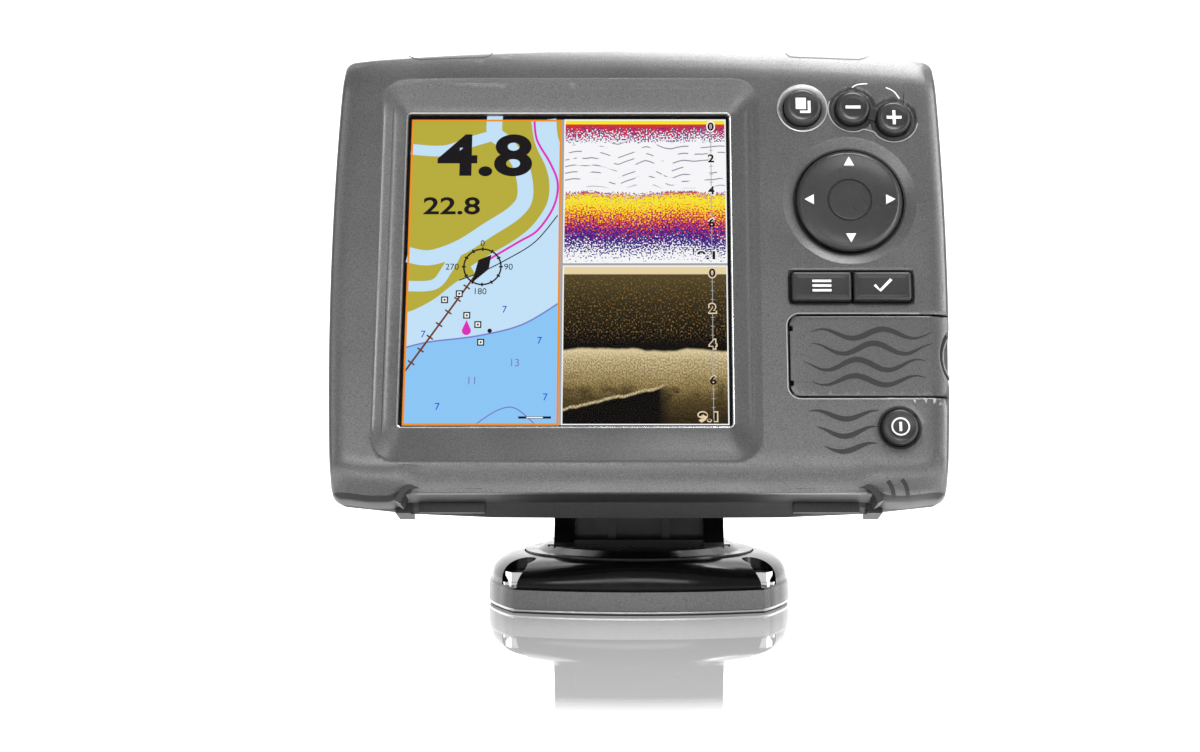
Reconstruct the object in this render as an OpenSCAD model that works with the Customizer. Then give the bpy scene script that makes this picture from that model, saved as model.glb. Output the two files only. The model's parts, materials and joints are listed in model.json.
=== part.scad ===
// Fish finder: a sonar display head on a quick-release stand that tilts and swivels.
// Units are millimetres. +Z is up and the screen faces -Y. The origin is the centre of the
// stand's underside, on the swivel axis. Inside in_head(), x runs to the right, y runs into
// the head from the face of the screen, and z runs up the screen from its centre.

/* [Head] */
// Half width of the head at its widest
head_half_w = 87.1; // [86.5:0.1:88]
// Top of the head above the screen's centre
head_top = 68; // [67:0.1:69]
// Lower edge of the front bezel below the screen's centre
bezel_foot = 62.8; // [62:0.1:64]
// Lowest edge of the rear case below the screen's centre
case_foot = 67.3; // [66:0.1:68]
// Radius of the head's corners
corner_r = 4.3; // [3.5:0.1:6]
// Wall of the two shells
wall = 2.4; // [2:0.1:3]
// Distance from the screen's face forward to the bezel's front
bezel_proud = 6; // [5.5:0.1:6.5]
// Distance from the screen's face back to the seam between the shells
seam_depth = 8; // [7.5:0.1:9]
// Distance from the screen's face back to the flat of the rear case
back_depth = 27; // [26:0.5:28]

/* [Screen] */
// Side of the square picture
picture = 89.8; // [88:0.1:90]
// Centre of the picture, to the right of the head's centre
picture_u = -20.1; // [-21:0.1:-20]
// Centre of the picture, above the head's centre
picture_v = 1.05; // [0.5:0.05:1.5]

/* [Keys] */
// Radius of the pages key
pages_r = 5.2; // [5:0.1:5.4]
// Radius of the zoom keys
zoom_r = 4.8; // [4.5:0.1:5]
// Radius of the power key
power_r = 5; // [4.5:0.1:5.2]
// Radius of the direction pad
pad_r = 14.8; // [14:0.1:15]
// Gap between a key and the bezel around it
key_gap = 0.3; // [0.25:0.05:0.4]

/* [Card door] */
// Top edge of the door below the screen's centre
door_top = -14.1; // [-14.4:0.1:-13.9]
// Bottom edge of the door below the screen's centre
door_bottom = -37.2; // [-38:0.1:-37]
// Distance of the door's hinge to the right of the head's centre
hinge_u = 43; // [42.8:0.1:43.2]
// Radius of the hinge barrel
barrel_r = 1.9; // [1.7:0.1:2]

/* [Stand] */
// Rest lean of the head, back from upright
lean = 14.5; // [5:0.5:20]
// Height of the tilt axis above the underside
pivot_z = 79; // [78:0.5:85]
// Distance of the tilt axis behind the swivel axis
pivot_y = 8; // [6:0.5:10]
// Half width of the base
base_half_w = 45; // [44:0.5:50]
// Half depth of the base at its middle
base_half_d = 40; // [38:0.5:42]
// Height of the base's straight edge
base_edge = 6.2; // [5.5:0.1:7]
// Radius of the swivel disc
disc_r = 34; // [33:0.5:34.5]
// Distance between the mounting screws, side to side
screw_span_x = 69; // [67:1:70]
// Distance between the mounting screws, front to back
screw_span_y = 47; // [45:1:48]
// Half width of the neck
neck_half_w = 25; // [24:0.5:26]

/* [Hidden] */
$fn = 64;

// Tilt axis in the head's frame
pivot_depth = 48;
pivot_drop = 5;

// Depth levels in the head's frame
front = -bezel_proud;
wall_back = front + wall;
lip_front = -2.6;
glass_front = -1;
shell_gap = 0.6;
case_front = seam_depth + shell_gap;
board_front = 10.5;
board_back = board_front + 1.6;
key_top = front - 1.7;
pad_top = front - 1.2;

// Window and recess around the picture
window_edge = 0.8;
window_u0 = picture_u - picture / 2 - window_edge;
window_u1 = picture_u + picture / 2 + window_edge;
window_v0 = picture_v - picture / 2 - window_edge;
window_v1 = picture_v + picture / 2 + window_edge;
recess_side = 7;
recess_tall = 10;

// Key centres, as [right, up]
pages_at = [46.3, 47.1];
zoom_out_at = [60.5, 46.8];
zoom_in_at = [72, 43.7];
pad_at = [58.9, 19.4];
power_at = [70.6, -45.8];
menu_u = [42.1, 58.6];
enter_u = [59.1, 75.1];
soft_v = [-10.1, -1.9];
key_ring_r = 6.9;
pad_dish_r = 18.8;
pad_bore_r = pad_r + 0.6;

// Card door and bay
door_gap = 0.3;
door_wall = 1.9;
door_lip_back = 2;
hinge_w = front + barrel_r;
pin_r = 0.6;
bay_u = [46.4, 83.2];
bay_wall = 1.6;
bay_back = 7;

// Fastener places
case_screw_at = [[-78, 55], [78, 55], [-79, -53], [79, -53], [-30, 61.5], [-30, -56.8]];
board_screw_at = [[-68, 50], [68, 50], [-68, -44], [60, -46]];
connector_at = [50, -30];
vent_at = [-50, -30];

// Quick-release slide
tongue_half = 20;
stem_half = 16;
slide_gap = 0.4;
tongue_w = [32.4, 34];
tongue_v = [-27, 22];
hump_half = 27;
hump_v = [-41, 31];
hump_back = 36.4;
lever_w = 42.2;
lever_v = 15;

// Stand levels
pad_h = 1;
base_top = 12.9;
// Dome of the base, as [height, distance in from the edge]
dome_steps = [[base_edge, 0.4], [base_edge + 2.4, 1.8], [base_edge + 4.8, 4.4], [base_edge + 7.2, 8.6]];
rim_z = 14.8;
// Height of the ledges that the mounting screws' heads sit on
screw_seat = 7.1;
disc_z = [13.5, 15.4];
knuckle_r = 8.5;
fork_half = 19;
washer_t = 0.4;
tilt_bolt_r = 3;
swivel_bolt_r = 4;
screw_r = 2.1;

// ---------------------------------------------------------------- shared shapes

// Points of an arc from angle a0 to angle a1
function arc(c, r, a0, a1, n) =
    [for (i = [0 : n]) let (a = a0 + (a1 - a0) * i / n) [c[0] + r * cos(a), c[1] + r * sin(a)]];

// The head's sides are long arcs, widest at height side_widest
side_r = 1033;
side_widest = 8;
// How far the top edge drops from its middle to its ends, at top_reach from the middle
top_drop = 3.6;
top_reach = 82;

// Half width of the head at height v
function head_half(v) = head_half_w - pow(v - side_widest, 2) / (2 * side_r);

// Front-view outline of the head, drawn `inset` inside its skin with the lower edge at `foot`
function head_outline(inset, foot) =
    let (
        r = max(corner_r - inset, 0.8),
        bow = (foot - 62.2) * 0.6,
        top_v = head_top - top_drop - inset - r,
        low_v = -foot + bow + inset + r,
        top_u = head_half(62) - inset - r,
        low_u = head_half(-58) - inset - r
    )
    concat(
        arc([top_u, top_v], r, 0, 90, 5),
        [for (u = [60 : -20 : -60]) [u, head_top - inset - top_drop * pow(u / top_reach, 2)]],
        arc([-top_u, top_v], r, 90, 180, 5),
        [for (v = [38 : -20 : -42]) [inset - head_half(v), v]],
        arc([-low_u, low_v], r, 180, 270, 5),
        [for (u = [-64, -40, 0, 40, 64]) [u, -foot + inset + bow * pow(u / 80, 4)]],
        arc([low_u, low_v], r, 270, 360, 5),
        [for (v = [-42 : 20 : 38]) [head_half(v) - inset, v]]
    );

// Rectangle with round corners
function round_rect(u0, u1, v0, v1, r) = concat(
    arc([u1 - r, v1 - r], r, 0, 90, 5),
    arc([u0 + r, v1 - r], r, 90, 180, 5),
    arc([u0 + r, v0 + r], r, 180, 270, 5),
    arc([u1 - r, v0 + r], r, 270, 360, 5)
);

// Plan-view outline of the base, drawn `inset` inside its edge
function base_outline(inset) =
    let (
        front_arc = arc([0, 60], base_half_d + 60 - inset, 249, 291, 10),
        side_arc = arc([base_half_w - 61, 0], 61 - inset, -23, 23, 8)
    )
    concat(
        front_arc,
        side_arc,
        [for (p = front_arc) [-p[0], -p[1]]],
        [for (p = side_arc) [-p[0], -p[1]]]
    );

// Places children in the head's frame
module in_head() {
    translate([0, pivot_y, pivot_z])
        rotate([-lean, 0, 0])
            translate([0, -pivot_depth, pivot_drop])
                children();
}

// Extrudes a front-view outline from depth w0 to depth w1
module slab(w0, w1) {
    translate([0, w1, 0])
        rotate([90, 0, 0])
            linear_extrude(w1 - w0)
                children();
}

// Extrudes a side-view outline, drawn as [depth, height], from u0 to u1
module across(u0, u1) {
    translate([u0, 0, 0])
        rotate([90, 0, 90])
            linear_extrude(u1 - u0)
                children();
}

// Round bar along the depth axis
module bar(at, r, w0, w1) {
    translate([at[0], w0, at[1]])
        rotate([-90, 0, 0])
            cylinder(h = w1 - w0, r = r);
}

// Round bar along x
module cross_bar(y, z, r, x0, x1) {
    translate([x0, y, z])
        rotate([0, 90, 0])
            cylinder(h = x1 - x0, r = r);
}

// Box given by its limits on each axis
module block(x, y, z) {
    translate([x[0], y[0], z[0]])
        cube([x[1] - x[0], y[1] - y[0], z[1] - z[0]]);
}

// One thin layer of the head's outline, for hulls
module head_layer(w, inset, foot) {
    slab(w, w + 0.01)
        polygon(head_outline(inset, foot));
}

// Screw along the depth axis, with its head at depth w0
module screw(at, r, head_r, head_h, w0, w1) {
    bar(at, head_r, w0, w0 + head_h);
    bar(at, r, w0, w1);
}

// ---------------------------------------------------------------- stand: base

// Runs children at each mounting screw
module at_mounting_screws() {
    for (x = [-1, 1], y = [-1, 1])
        translate([x * screw_span_x / 2, y * screw_span_y / 2, 0])
            children();
}

module mounting_base() {
    color("#141416")
    difference() {
        union() {
            translate([0, 0, pad_h])
                linear_extrude(base_edge - pad_h)
                    polygon(base_outline(0));
            hull() {
                for (step = dome_steps)
                    translate([0, 0, step[0]])
                        linear_extrude(0.01)
                            polygon(base_outline(step[1]));
                translate([0, 0, rim_z - 0.01])
                    cylinder(h = 0.01, r = disc_r + 1, $fn = 96);
            }
        }
        difference() {
            translate([0, 0, pad_h - 1])
                linear_extrude(base_edge - 2.4)
                    polygon(base_outline(3));
            at_mounting_screws()
                cylinder(h = base_top, r = 6.2);
            cylinder(h = base_top, r = 15);
        }
        translate([0, 0, base_top])
            cylinder(h = rim_z, r = disc_r + 0.4);
        translate([0, 0, pad_h - 1])
            cylinder(h = 7.5, r = 11);
        translate([0, 0, pad_h])
            cylinder(h = base_top, r = swivel_bolt_r + 0.06);
        at_mounting_screws() {
            cylinder(h = base_top, r = 3.5);
            translate([0, 0, screw_seat])
                cylinder(h = base_top, r = 4.9);
        }
        for (x = [-1, 1], y = [-1, 1])
            translate([x * (screw_span_x / 2 + 2.5), y * (screw_span_y / 2 + 5), screw_seat])
                cylinder(h = base_top, r = 5.2);
    }
}

module base_pad() {
    color("#2b2b2d")
    difference() {
        linear_extrude(pad_h)
            polygon(base_outline(0.6));
        translate([0, 0, -1])
            cylinder(h = pad_h + 2, r = 15);
        at_mounting_screws()
            translate([0, 0, -1])
                cylinder(h = pad_h + 2, r = 3.5);
    }
}

module mounting_screws() {
    color("#b9bcc0")
    at_mounting_screws() {
        cylinder(h = screw_seat, r = screw_r);
        translate([0, 0, screw_seat - 0.7])
            cylinder(h = 0.8, r = screw_r + 0.3);
        translate([0, 0, screw_seat])
            cylinder(h = 0.9, r = 4.6);
        translate([0, 0, screw_seat + 0.8])
            cylinder(h = 2.9, r = 3.9, $fn = 6);
    }
}

module swivel_ring() {
    color("#d8d8d2")
    translate([0, 0, base_top])
        difference() {
            cylinder(h = 0.5, r = 31);
            translate([0, 0, -1])
                cylinder(h = 3, r = 22);
        }
}

// ---------------------------------------------------------------- stand: swivel

// Side view of the neck, as [y, z] from the foot up to the round of the tilt axis
function neck_side() = concat(
    [[-16, disc_z[1] - 0.5], [-12.5, 18], [-9.5, 23], [-6.6, 36], [pivot_y - knuckle_r, pivot_z - 12]],
    arc([pivot_y, pivot_z], knuckle_r, 180, 0, 16),
    [[pivot_y + knuckle_r + 0.5, pivot_z - 12], [14.6, 36], [17.5, 23], [20.5, 18], [24, disc_z[1] - 0.5]]
);

module neck_cheek() {
    across(fork_half, neck_half_w)
        polygon(neck_side());
}

module pedestal() {
    color("#111113")
    difference() {
        union() {
            translate([0, 0, disc_z[0]])
                cylinder(h = disc_z[1] - disc_z[0], r = disc_r);
            translate([0, 0, disc_z[1] - 0.5])
                cylinder(h = 2, r1 = 31, r2 = 28);
            neck_cheek();
            mirror([1, 0, 0])
                neck_cheek();
            block([-fork_half - 1, fork_half + 1], [0.5, 5.5], [disc_z[1], pivot_z - knuckle_r - 2]);
            for (x = [-8, 8])
                block([x - 1.2, x + 1.2], [-3, 1], [disc_z[1], pivot_z - knuckle_r - 6]);
            block([-fork_half, fork_half], [-9, 13], [disc_z[1], 18.4]);
            block([-neck_half_w - 2, neck_half_w + 2], [-9, 12], [disc_z[1] - 0.5, 17.2]);
        }
        cross_bar(pivot_y, pivot_z, tilt_bolt_r + 0.05, -neck_half_w - 1, neck_half_w + 1);
        cross_bar(pivot_y, pivot_z, 5.6, neck_half_w - 3.4, neck_half_w + 1);
        cross_bar(pivot_y, pivot_z, 5.6, -neck_half_w - 1, -neck_half_w + 3.4);
        cylinder(h = disc_z[1] + 1, r = swivel_bolt_r + 0.05);
    }
}

// Threaded stud that holds the neck's disc down on the base
module swivel_bolt() {
    color("#9a9da2")
    translate([0, 0, 1.6])
        cylinder(h = disc_z[1] - 1.6, r = swivel_bolt_r);
}

module swivel_washer() {
    color("#b9bcc0")
    translate([0, 0, 6.6])
        difference() {
            cylinder(h = 0.8, r = 9);
            translate([0, 0, -1])
                cylinder(h = 3, r = swivel_bolt_r + 0.05);
        }
}

module swivel_nut() {
    color("#9a9da2")
    translate([0, 0, 2.2])
        difference() {
            cylinder(h = 4.3, r = 7.5, $fn = 6);
            translate([0, 0, -1])
                cylinder(h = 6, r = swivel_bolt_r + 0.05);
        }
}

module tilt_bolt() {
    color("#9a9da2")
    difference() {
        union() {
            cross_bar(pivot_y, pivot_z, tilt_bolt_r, -neck_half_w + 0.4, neck_half_w - 3);
            cross_bar(pivot_y, pivot_z, 5.2, neck_half_w - 3.3, neck_half_w - 0.3);
        }
        translate([neck_half_w - 2.2, pivot_y, pivot_z])
            rotate([0, 90, 0])
                cylinder(h = 4, r = 2.4, $fn = 6);
    }
}

module tilt_nut() {
    color("#9a9da2")
    difference() {
        translate([-neck_half_w + 0.5, pivot_y, pivot_z])
            rotate([0, 90, 0])
                cylinder(h = 2.8, r = 5.2, $fn = 6);
        cross_bar(pivot_y, pivot_z, tilt_bolt_r + 0.05, -neck_half_w, -neck_half_w + 5);
    }
}

module friction_washers() {
    color("#cfcfc8")
    for (side = [-1, 1])
        translate([side * (fork_half - washer_t / 2 - 0.05), 0, 0])
            difference() {
                cross_bar(pivot_y, pivot_z, knuckle_r - 0.5, -washer_t / 2, washer_t / 2);
                cross_bar(pivot_y, pivot_z, tilt_bolt_r + 0.05, -1, 1);
            }
}

// ---------------------------------------------------------------- stand: cradle

// Tongue, stem and tilt knuckle, with two ears for the release lever
module cradle() {
    color("#161618")
    in_head()
        difference() {
            union() {
                block([-tongue_half, tongue_half], tongue_w, tongue_v);
                block([-stem_half, stem_half], [tongue_w[0], 38.5], tongue_v);
                cross_bar(pivot_depth, -pivot_drop, knuckle_r, 0.6 - fork_half, fork_half - 0.6);
                block([0.6 - fork_half, fork_half - 0.6], [38, pivot_depth], [-pivot_drop - 5, 0.5]);
                for (side = [-1, 1])
                    translate([side * 8.5, 0, 0]) {
                        cross_bar(lever_w, lever_v, 2.6, -1.3, 1.3);
                        block([-1.3, 1.3], [38, lever_w], [lever_v - 2.6, lever_v + 2.6]);
                    }
            }
            cross_bar(pivot_depth, -pivot_drop, tilt_bolt_r + 0.05, -fork_half, fork_half);
            cross_bar(lever_w, lever_v, 1, -11, 11);
            block([-3.6, 3.6], [tongue_w[0] - 1, 40], [3.6, 10.6]);
            block([-3.4, 3.4], [37.4, lever_w], [lever_v - 3.2, lever_v + 3.2]);
        }
}

module lever_pin() {
    color("#b9bcc0")
    in_head()
        cross_bar(lever_w, lever_v, 0.95, -10, 10);
}

// Torsion spring: a close coil on the lever pin, with one leg on the cradle
module release_spring() {
    color("#c8ccd0")
    in_head() {
        for (turn = [-2 : 2])
            translate([turn * 0.62, lever_w, lever_v])
                rotate([0, 90, 0])
                    rotate_extrude()
                        translate([1.6, 0])
                            circle(r = 0.32);
        translate([1.24, lever_w - 1.6, lever_v - 4])
            cylinder(h = 4, r = 0.32);
    }
}

// Lever with a finger pad above its pin and a nose below it
module release_lever() {
    color("#1d1d20")
    in_head()
        difference() {
            union() {
                cross_bar(lever_w, lever_v, 2.3, -6.8, 6.8);
                across(-6.8, 6.8)
                    polygon([
                        [lever_w - 0.8, lever_v], [lever_w + 0.4, 31], [lever_w + 3.2, 33],
                        [lever_w + 4.4, 31.5], [lever_w + 2.2, lever_v]
                    ]);
                across(-3, 3)
                    polygon([
                        [lever_w - 2, lever_v - 1], [40.2, 10], [31.3, 9.2], [31.3, 7.2],
                        [34, 6], [lever_w, 6], [lever_w + 2, lever_v]
                    ]);
            }
            cross_bar(lever_w, lever_v, 1, -8, 8);
            cross_bar(lever_w, lever_v, 2.5, -2.6, 2.6);
            block([-2.6, 2.6], [37, lever_w], [lever_v - 5, lever_v + 2.5]);
        }
}

// ---------------------------------------------------------------- head: shells

// Slanted sound slots in the lower right edge
module sound_slots() {
    for (slot = [[68.6, -63.6, -19], [72.5, -63.1, -15]])
        translate([slot[0], 4, slot[1]])
            rotate([0, slot[2], 0])
                cube([2, 16, 6], center = true);
}

// Dish that slopes from the bezel's front down to the window
module screen_recess() {
    hull() {
        slab(front - 0.1, front)
            polygon(round_rect(window_u0 - recess_side, window_u1 + recess_side,
                window_v0 - recess_tall - 0.5, window_v1 + recess_tall - 0.8, 5.5));
        slab(lip_front - 0.01, lip_front)
            polygon(round_rect(window_u0, window_u1, window_v0, window_v1, 1));
    }
}

// Shallow sinks around the round keys, with a bridge between the zoom keys
module key_sinks() {
    for (at = [pages_at, zoom_out_at, zoom_in_at])
        bar(at, key_ring_r, front - 0.1, front + 0.6);
    hull() {
        bar(zoom_out_at, 3.2, front - 0.1, front + 0.6, $fn = 24);
        bar(zoom_in_at, 3.2, front - 0.1, front + 0.6, $fn = 24);
    }
    translate([pad_at[0], front - 0.01, pad_at[1]])
        rotate([-90, 0, 0])
            cylinder(h = 1.1, r1 = pad_dish_r, r2 = pad_bore_r);
}

// Bores for the keys and the shared opening of the two soft keys
module key_openings() {
    bar(pages_at, pages_r + key_gap, front - 1, 0);
    bar(zoom_out_at, zoom_r + key_gap, front - 1, 0);
    bar(zoom_in_at, zoom_r + key_gap, front - 1, 0);
    bar(power_at, power_r + key_gap, front - 1, 0);
    bar(pad_at, pad_bore_r, front - 1, 0);
    block([menu_u[0] - key_gap, enter_u[1] + key_gap], [front - 1, 0],
        [soft_v[0] - key_gap, soft_v[1] + key_gap]);
}

// Opening for the card door, with the trough that its hinge barrel turns in
module door_opening() {
    low = door_bottom - door_gap;
    high = door_top + door_gap;
    block([hinge_u - barrel_r - door_gap, hinge_u + 3.2], [front - 1, hinge_w], [low, high]);
    block([hinge_u + 3.1, head_half_w + 5], [front - 1, door_lip_back + door_gap], [low, high]);
    translate([hinge_u, hinge_w, low])
        cylinder(h = high - low, r = barrel_r + door_gap);
    translate([hinge_u, hinge_w, low - 2.3])
        cylinder(h = high - low + 4.6, r = pin_r + 0.02);
}

// Outer skin of the front bezel, with its front edge eased
module bezel_skin() {
    hull() {
        head_layer(front, 1.6, bezel_foot);
        head_layer(front + 1.6, 0.2, bezel_foot);
        head_layer(seam_depth - 0.01, 0, bezel_foot);
    }
}

module front_bezel() {
    color("#77787a")
    in_head()
        difference() {
            union() {
                difference() {
                    bezel_skin();
                    slab(glass_front, seam_depth + 1)
                        polygon(head_outline(wall, bezel_foot));
                    slab(wall_back, 0)
                        polygon(round_rect(36, 83.2, -58, 58, 3));
                }
                block([hinge_u - 3.6, hinge_u + 3.1], [wall_back - 0.1, -0.6],
                    [door_bottom - 3.6, door_top + 3]);
                for (at = case_screw_at)
                    bar(at, 3, wall_back - 0.2, seam_depth);
            }
            screen_recess();
            slab(lip_front - 0.1, 0)
                polygon(round_rect(window_u0, window_u1, window_v0, window_v1, 1));
            key_sinks();
            key_openings();
            door_opening();
            sound_slots();
            for (at = case_screw_at)
                bar(at, 1.35, glass_front + 0.8, seam_depth + 1);
        }
}

// Outer skin of the rear case, drawn `inset` inside
module case_body(inset) {
    hull() {
        head_layer(case_front - (inset > 0 ? 0.1 : 0), inset, bezel_foot + 0.2);
        head_layer(14, 0.2 + inset, case_foot);
        head_layer(21, 2.6 + inset, case_foot - 1);
        head_layer(back_depth - inset - 0.01, 11 + inset, case_foot - 8);
    }
}

// Raised back that holds the slide
module case_hump() {
    hull() {
        slab(back_depth - 3, back_depth - 2.9)
            polygon(round_rect(-hump_half - 3, hump_half + 3, hump_v[0] - 5, hump_v[1] + 5, 6));
        slab(hump_back - 0.1, hump_back)
            polygon(round_rect(-hump_half, hump_half, hump_v[0], hump_v[1], 4));
    }
}

// T-shaped slot, open below, that drops over the cradle's tongue, with a groove for the nose
module slide_slot() {
    low = hump_v[0] - 12;
    high = tongue_v[1] + slide_gap;
    block([-tongue_half - slide_gap, tongue_half + slide_gap],
        [tongue_w[0] - slide_gap, tongue_w[1] + slide_gap], [low, high]);
    block([-stem_half - slide_gap, stem_half + slide_gap], [tongue_w[1], 45], [low, high]);
    block([-3.7, 3.7], [30.5, 33], [low, 12]);
}

// One ledge: a block from u0 to u1 whose front is at depth w0
module ledge(u0, u1, w0, depth, v) {
    block([u0, u1], [w0, w0 + depth], v);
}

// Raised ledges that the snap-on sun cover grips, above and below
module cover_ledges() {
    for (side = [0, 1])
        mirror([side, 0, 0]) {
            ledge(45.8, 63, case_front, 5, [head_top - 5, head_top - 0.9]);
            ledge(42.6, 60.8, case_front + 0.4, 2, [-case_foot + 1, -case_foot + 4]);
            ledge(63, 67.2, case_front + 0.4, 10.6, [-case_foot + 0.8, -case_foot + 4]);
        }
}

module rear_case() {
    color("#3c3c3e")
    in_head()
        difference() {
            union() {
                difference() {
                    case_body(0);
                    difference() {
                        case_body(wall);
                        for (at = case_screw_at)
                            bar(at, 4.4, case_front - 1, back_depth);
                        for (at = board_screw_at)
                            bar(at, 3.2, board_back, back_depth);
                    }
                }
                case_hump();
                cover_ledges();
            }
            slide_slot();
            sound_slots();
            for (at = case_screw_at) {
                bar(at, 1.4, 0, back_depth + 1);
                bar(at, 3, 17, back_depth + 5);
            }
            for (at = board_screw_at)
                bar(at, 1.25, board_front, 19);
            bar(connector_at, 8, 15, back_depth + 1);
            bar(vent_at, 3, 15, back_depth + 1);
        }
}

module case_gasket() {
    color("#1b1b1c")
    in_head()
        difference() {
            slab(seam_depth, case_front)
                polygon(head_outline(0.7, bezel_foot));
            slab(seam_depth - 1, case_front + 1)
                polygon(head_outline(wall, bezel_foot));
        }
}

module case_screws() {
    color("#9a9da2")
    in_head()
        for (at = case_screw_at)
            difference() {
                union() {
                    bar(at, 2.7, 17, 19);
                    bar(at, 1.3, 0, 17.5);
                }
                translate([at[0], 18, at[1]])
                    rotate([-90, 0, 0])
                        cylinder(h = 2, r = 1.3, $fn = 6);
            }
}

// ---------------------------------------------------------------- head: display

module display_window() {
    color([0.75, 0.8, 0.82, 0.35])
    in_head()
        slab(glass_front + 0.3, -0.1)
            polygon(round_rect(window_u0 - 2.4, window_u1 + 2.4, window_v0 - 2.4, window_v1 + 2.4, 1));
}

module window_seal() {
    color("#101010")
    in_head()
        difference() {
            slab(glass_front, glass_front + 0.3)
                polygon(round_rect(window_u0 - 2.4, window_u1 + 2.4, window_v0 - 2.4, window_v1 + 2.4, 1));
            slab(glass_front - 1, 1)
                polygon(round_rect(window_u0 - 0.1, window_u1 + 0.1, window_v0 - 0.1, window_v1 + 0.1, 0.8));
        }
}

module lcd_panel() {
    color("#20262c")
    in_head()
        block([window_u0 - 1, window_u1 + 1], [0, 2], [window_v0 - 1, window_v1 + 1]);
}

module backlight() {
    color("#d9dbdc")
    in_head()
        block([window_u0 - 2, window_u1 + 2], [2, 6.4], [window_v0 - 2, window_v1 + 2]);
}

// Flat cable that folds under the backlight to the main board
module lcd_ribbon() {
    color("#c98a2e")
    in_head()
        across(picture_u - 12, picture_u + 12)
            polygon([
                [0.8, window_v0 - 1], [0.8, -49.6], [board_front, -49.6], [board_front, -40],
                [board_front - 0.3, -40], [board_front - 0.3, -49.3], [1.1, -49.3], [1.1, window_v0 - 1]
            ]);
}

// ---------------------------------------------------------------- head: electronics

module main_board() {
    color("#1f5a34")
    in_head()
        difference() {
            slab(board_front, board_back)
                polygon(round_rect(-73, 73, -51.5, 56, 3));
            for (at = board_screw_at)
                bar(at, 1.3, 0, 20);
            bar(connector_at, 6, 0, 20);
        }
}

module board_screws() {
    color("#b9bcc0")
    in_head()
        for (at = board_screw_at)
            screw(at, 1.2, 2.4, 1.5, board_front - 1.5, 17);
}

module shield_can() {
    color("#c4c6c8")
    in_head()
        block([-58, -24], [board_back, board_back + 3], [-20, 14]);
}

module gps_antenna() {
    color("#cbb68f")
    in_head()
        block([28, 53], [board_back, board_back + 4.5], [26, 51]);
}

module beeper() {
    color("#151515")
    in_head()
        bar([67, -40], 6, board_back, board_back + 5);
}

module clock_cell() {
    color("#b9bcc0")
    in_head()
        bar([36, 8], 6.2, board_back, board_back + 2.5);
}

// Board outline that steps around the card bay
function keypad_outline() = [
    [37, 57], [74, 57], [74, 50.5], [80, 50.5], [80, -10.9], [45.6, -10.9],
    [45.6, -40.6], [80, -40.6], [80, -46], [74, -46], [74, -52], [37, -52]
];

module keypad_board() {
    color("#1f5a34")
    in_head()
        slab(1.5, 2.9)
            polygon(keypad_outline());
}

// Silicone sheet with a dome under every key
module keypad_membrane() {
    color("#e4e4df")
    in_head() {
        slab(0.9, 1.5)
            polygon(keypad_outline());
        for (at = [pages_at, zoom_out_at, zoom_in_at, power_at])
            bar(at, 3, -0.05, 1);
        for (side = [menu_u, enter_u])
            bar([(side[0] + side[1]) / 2, (soft_v[0] + soft_v[1]) / 2], 3, -0.05, 1);
        for (a = [0 : 90 : 270])
            bar([pad_at[0] + 11 * cos(a), pad_at[1] + 11 * sin(a)], 2.5, 0.1, 1);
    }
}

module keypad_ribbon() {
    color("#c98a2e")
    in_head()
        across(42, 54)
            polygon([
                [2.9, 52], [2.9, 60], [board_front, 60], [board_front, 50],
                [board_front - 0.3, 50], [board_front - 0.3, 59.7], [3.2, 59.7], [3.2, 52]
            ]);
}

// ---------------------------------------------------------------- head: card bay

module card_bay() {
    color("#2a2a2c")
    in_head()
        difference() {
            block(bay_u, [wall_back + 0.1, bay_back], [door_bottom - 0.1, door_top + 0.1]);
            block([bay_u[0] + bay_wall, bay_u[1] - bay_wall], [wall_back - 1, bay_back - bay_wall],
                [door_bottom - 0.1 + bay_wall, door_top + 0.1 - bay_wall]);
            block([58.6, 72.4], [0, bay_back + 1], [-26.6, -24.6]);
        }
}

// Card socket behind the bay, with its slot facing the door
module card_socket() {
    color("#c4c6c8")
    in_head()
        difference() {
            block([58, 73], [bay_back, board_front], [-27.4, -23.8]);
            block([59.6, 71.4], [bay_back - 1, board_front - 1], [-26.1, -25.1]);
        }
}

module door_seal() {
    color("#121212")
    in_head()
        difference() {
            block([bay_u[0] + 0.2, bay_u[1] - 0.2], [wall_back - 0.35, wall_back + 0.1],
                [door_bottom + 0.1, door_top - 0.1]);
            block([bay_u[0] + 1.4, bay_u[1] - 1.4], [wall_back - 1, wall_back + 1],
                [door_bottom + 1.3, door_top - 1.3]);
        }
}

module door_pin() {
    color("#b9bcc0")
    in_head()
        translate([hinge_u, hinge_w, door_bottom - 2.4])
            cylinder(h = door_top - door_bottom + 4.8, r = pin_r);
}

// Door panel, with a lip that wraps around the head's right edge
module door_panel() {
    difference() {
        intersection() {
            bezel_skin();
            block([hinge_u, head_half_w + 1], [front, door_lip_back], [door_bottom, door_top]);
        }
        slab(front + door_wall, door_lip_back + 1)
            polygon(concat(
                [for (v = [-60 : 20 : 0]) [head_half(v) - 2, v]],
                [[hinge_u - 1, 0], [hinge_u - 1, -60]]
            ));
    }
}

// Panel on a hinge barrel at its left, with a finger notch in its right edge
module card_door() {
    color("#6e6f71")
    in_head()
        difference() {
            union() {
                door_panel();
                translate([hinge_u, hinge_w, door_bottom])
                    cylinder(h = door_top - door_bottom, r = barrel_r);
            }
            translate([hinge_u, hinge_w, door_bottom - 1])
                cylinder(h = door_top - door_bottom + 2, r = pin_r + 0.05);
            bar([94.2, (door_top + door_bottom) / 2], 11.9, front - 1, front + 1.3);
        }
}

// ---------------------------------------------------------------- head: connector and vent

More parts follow.
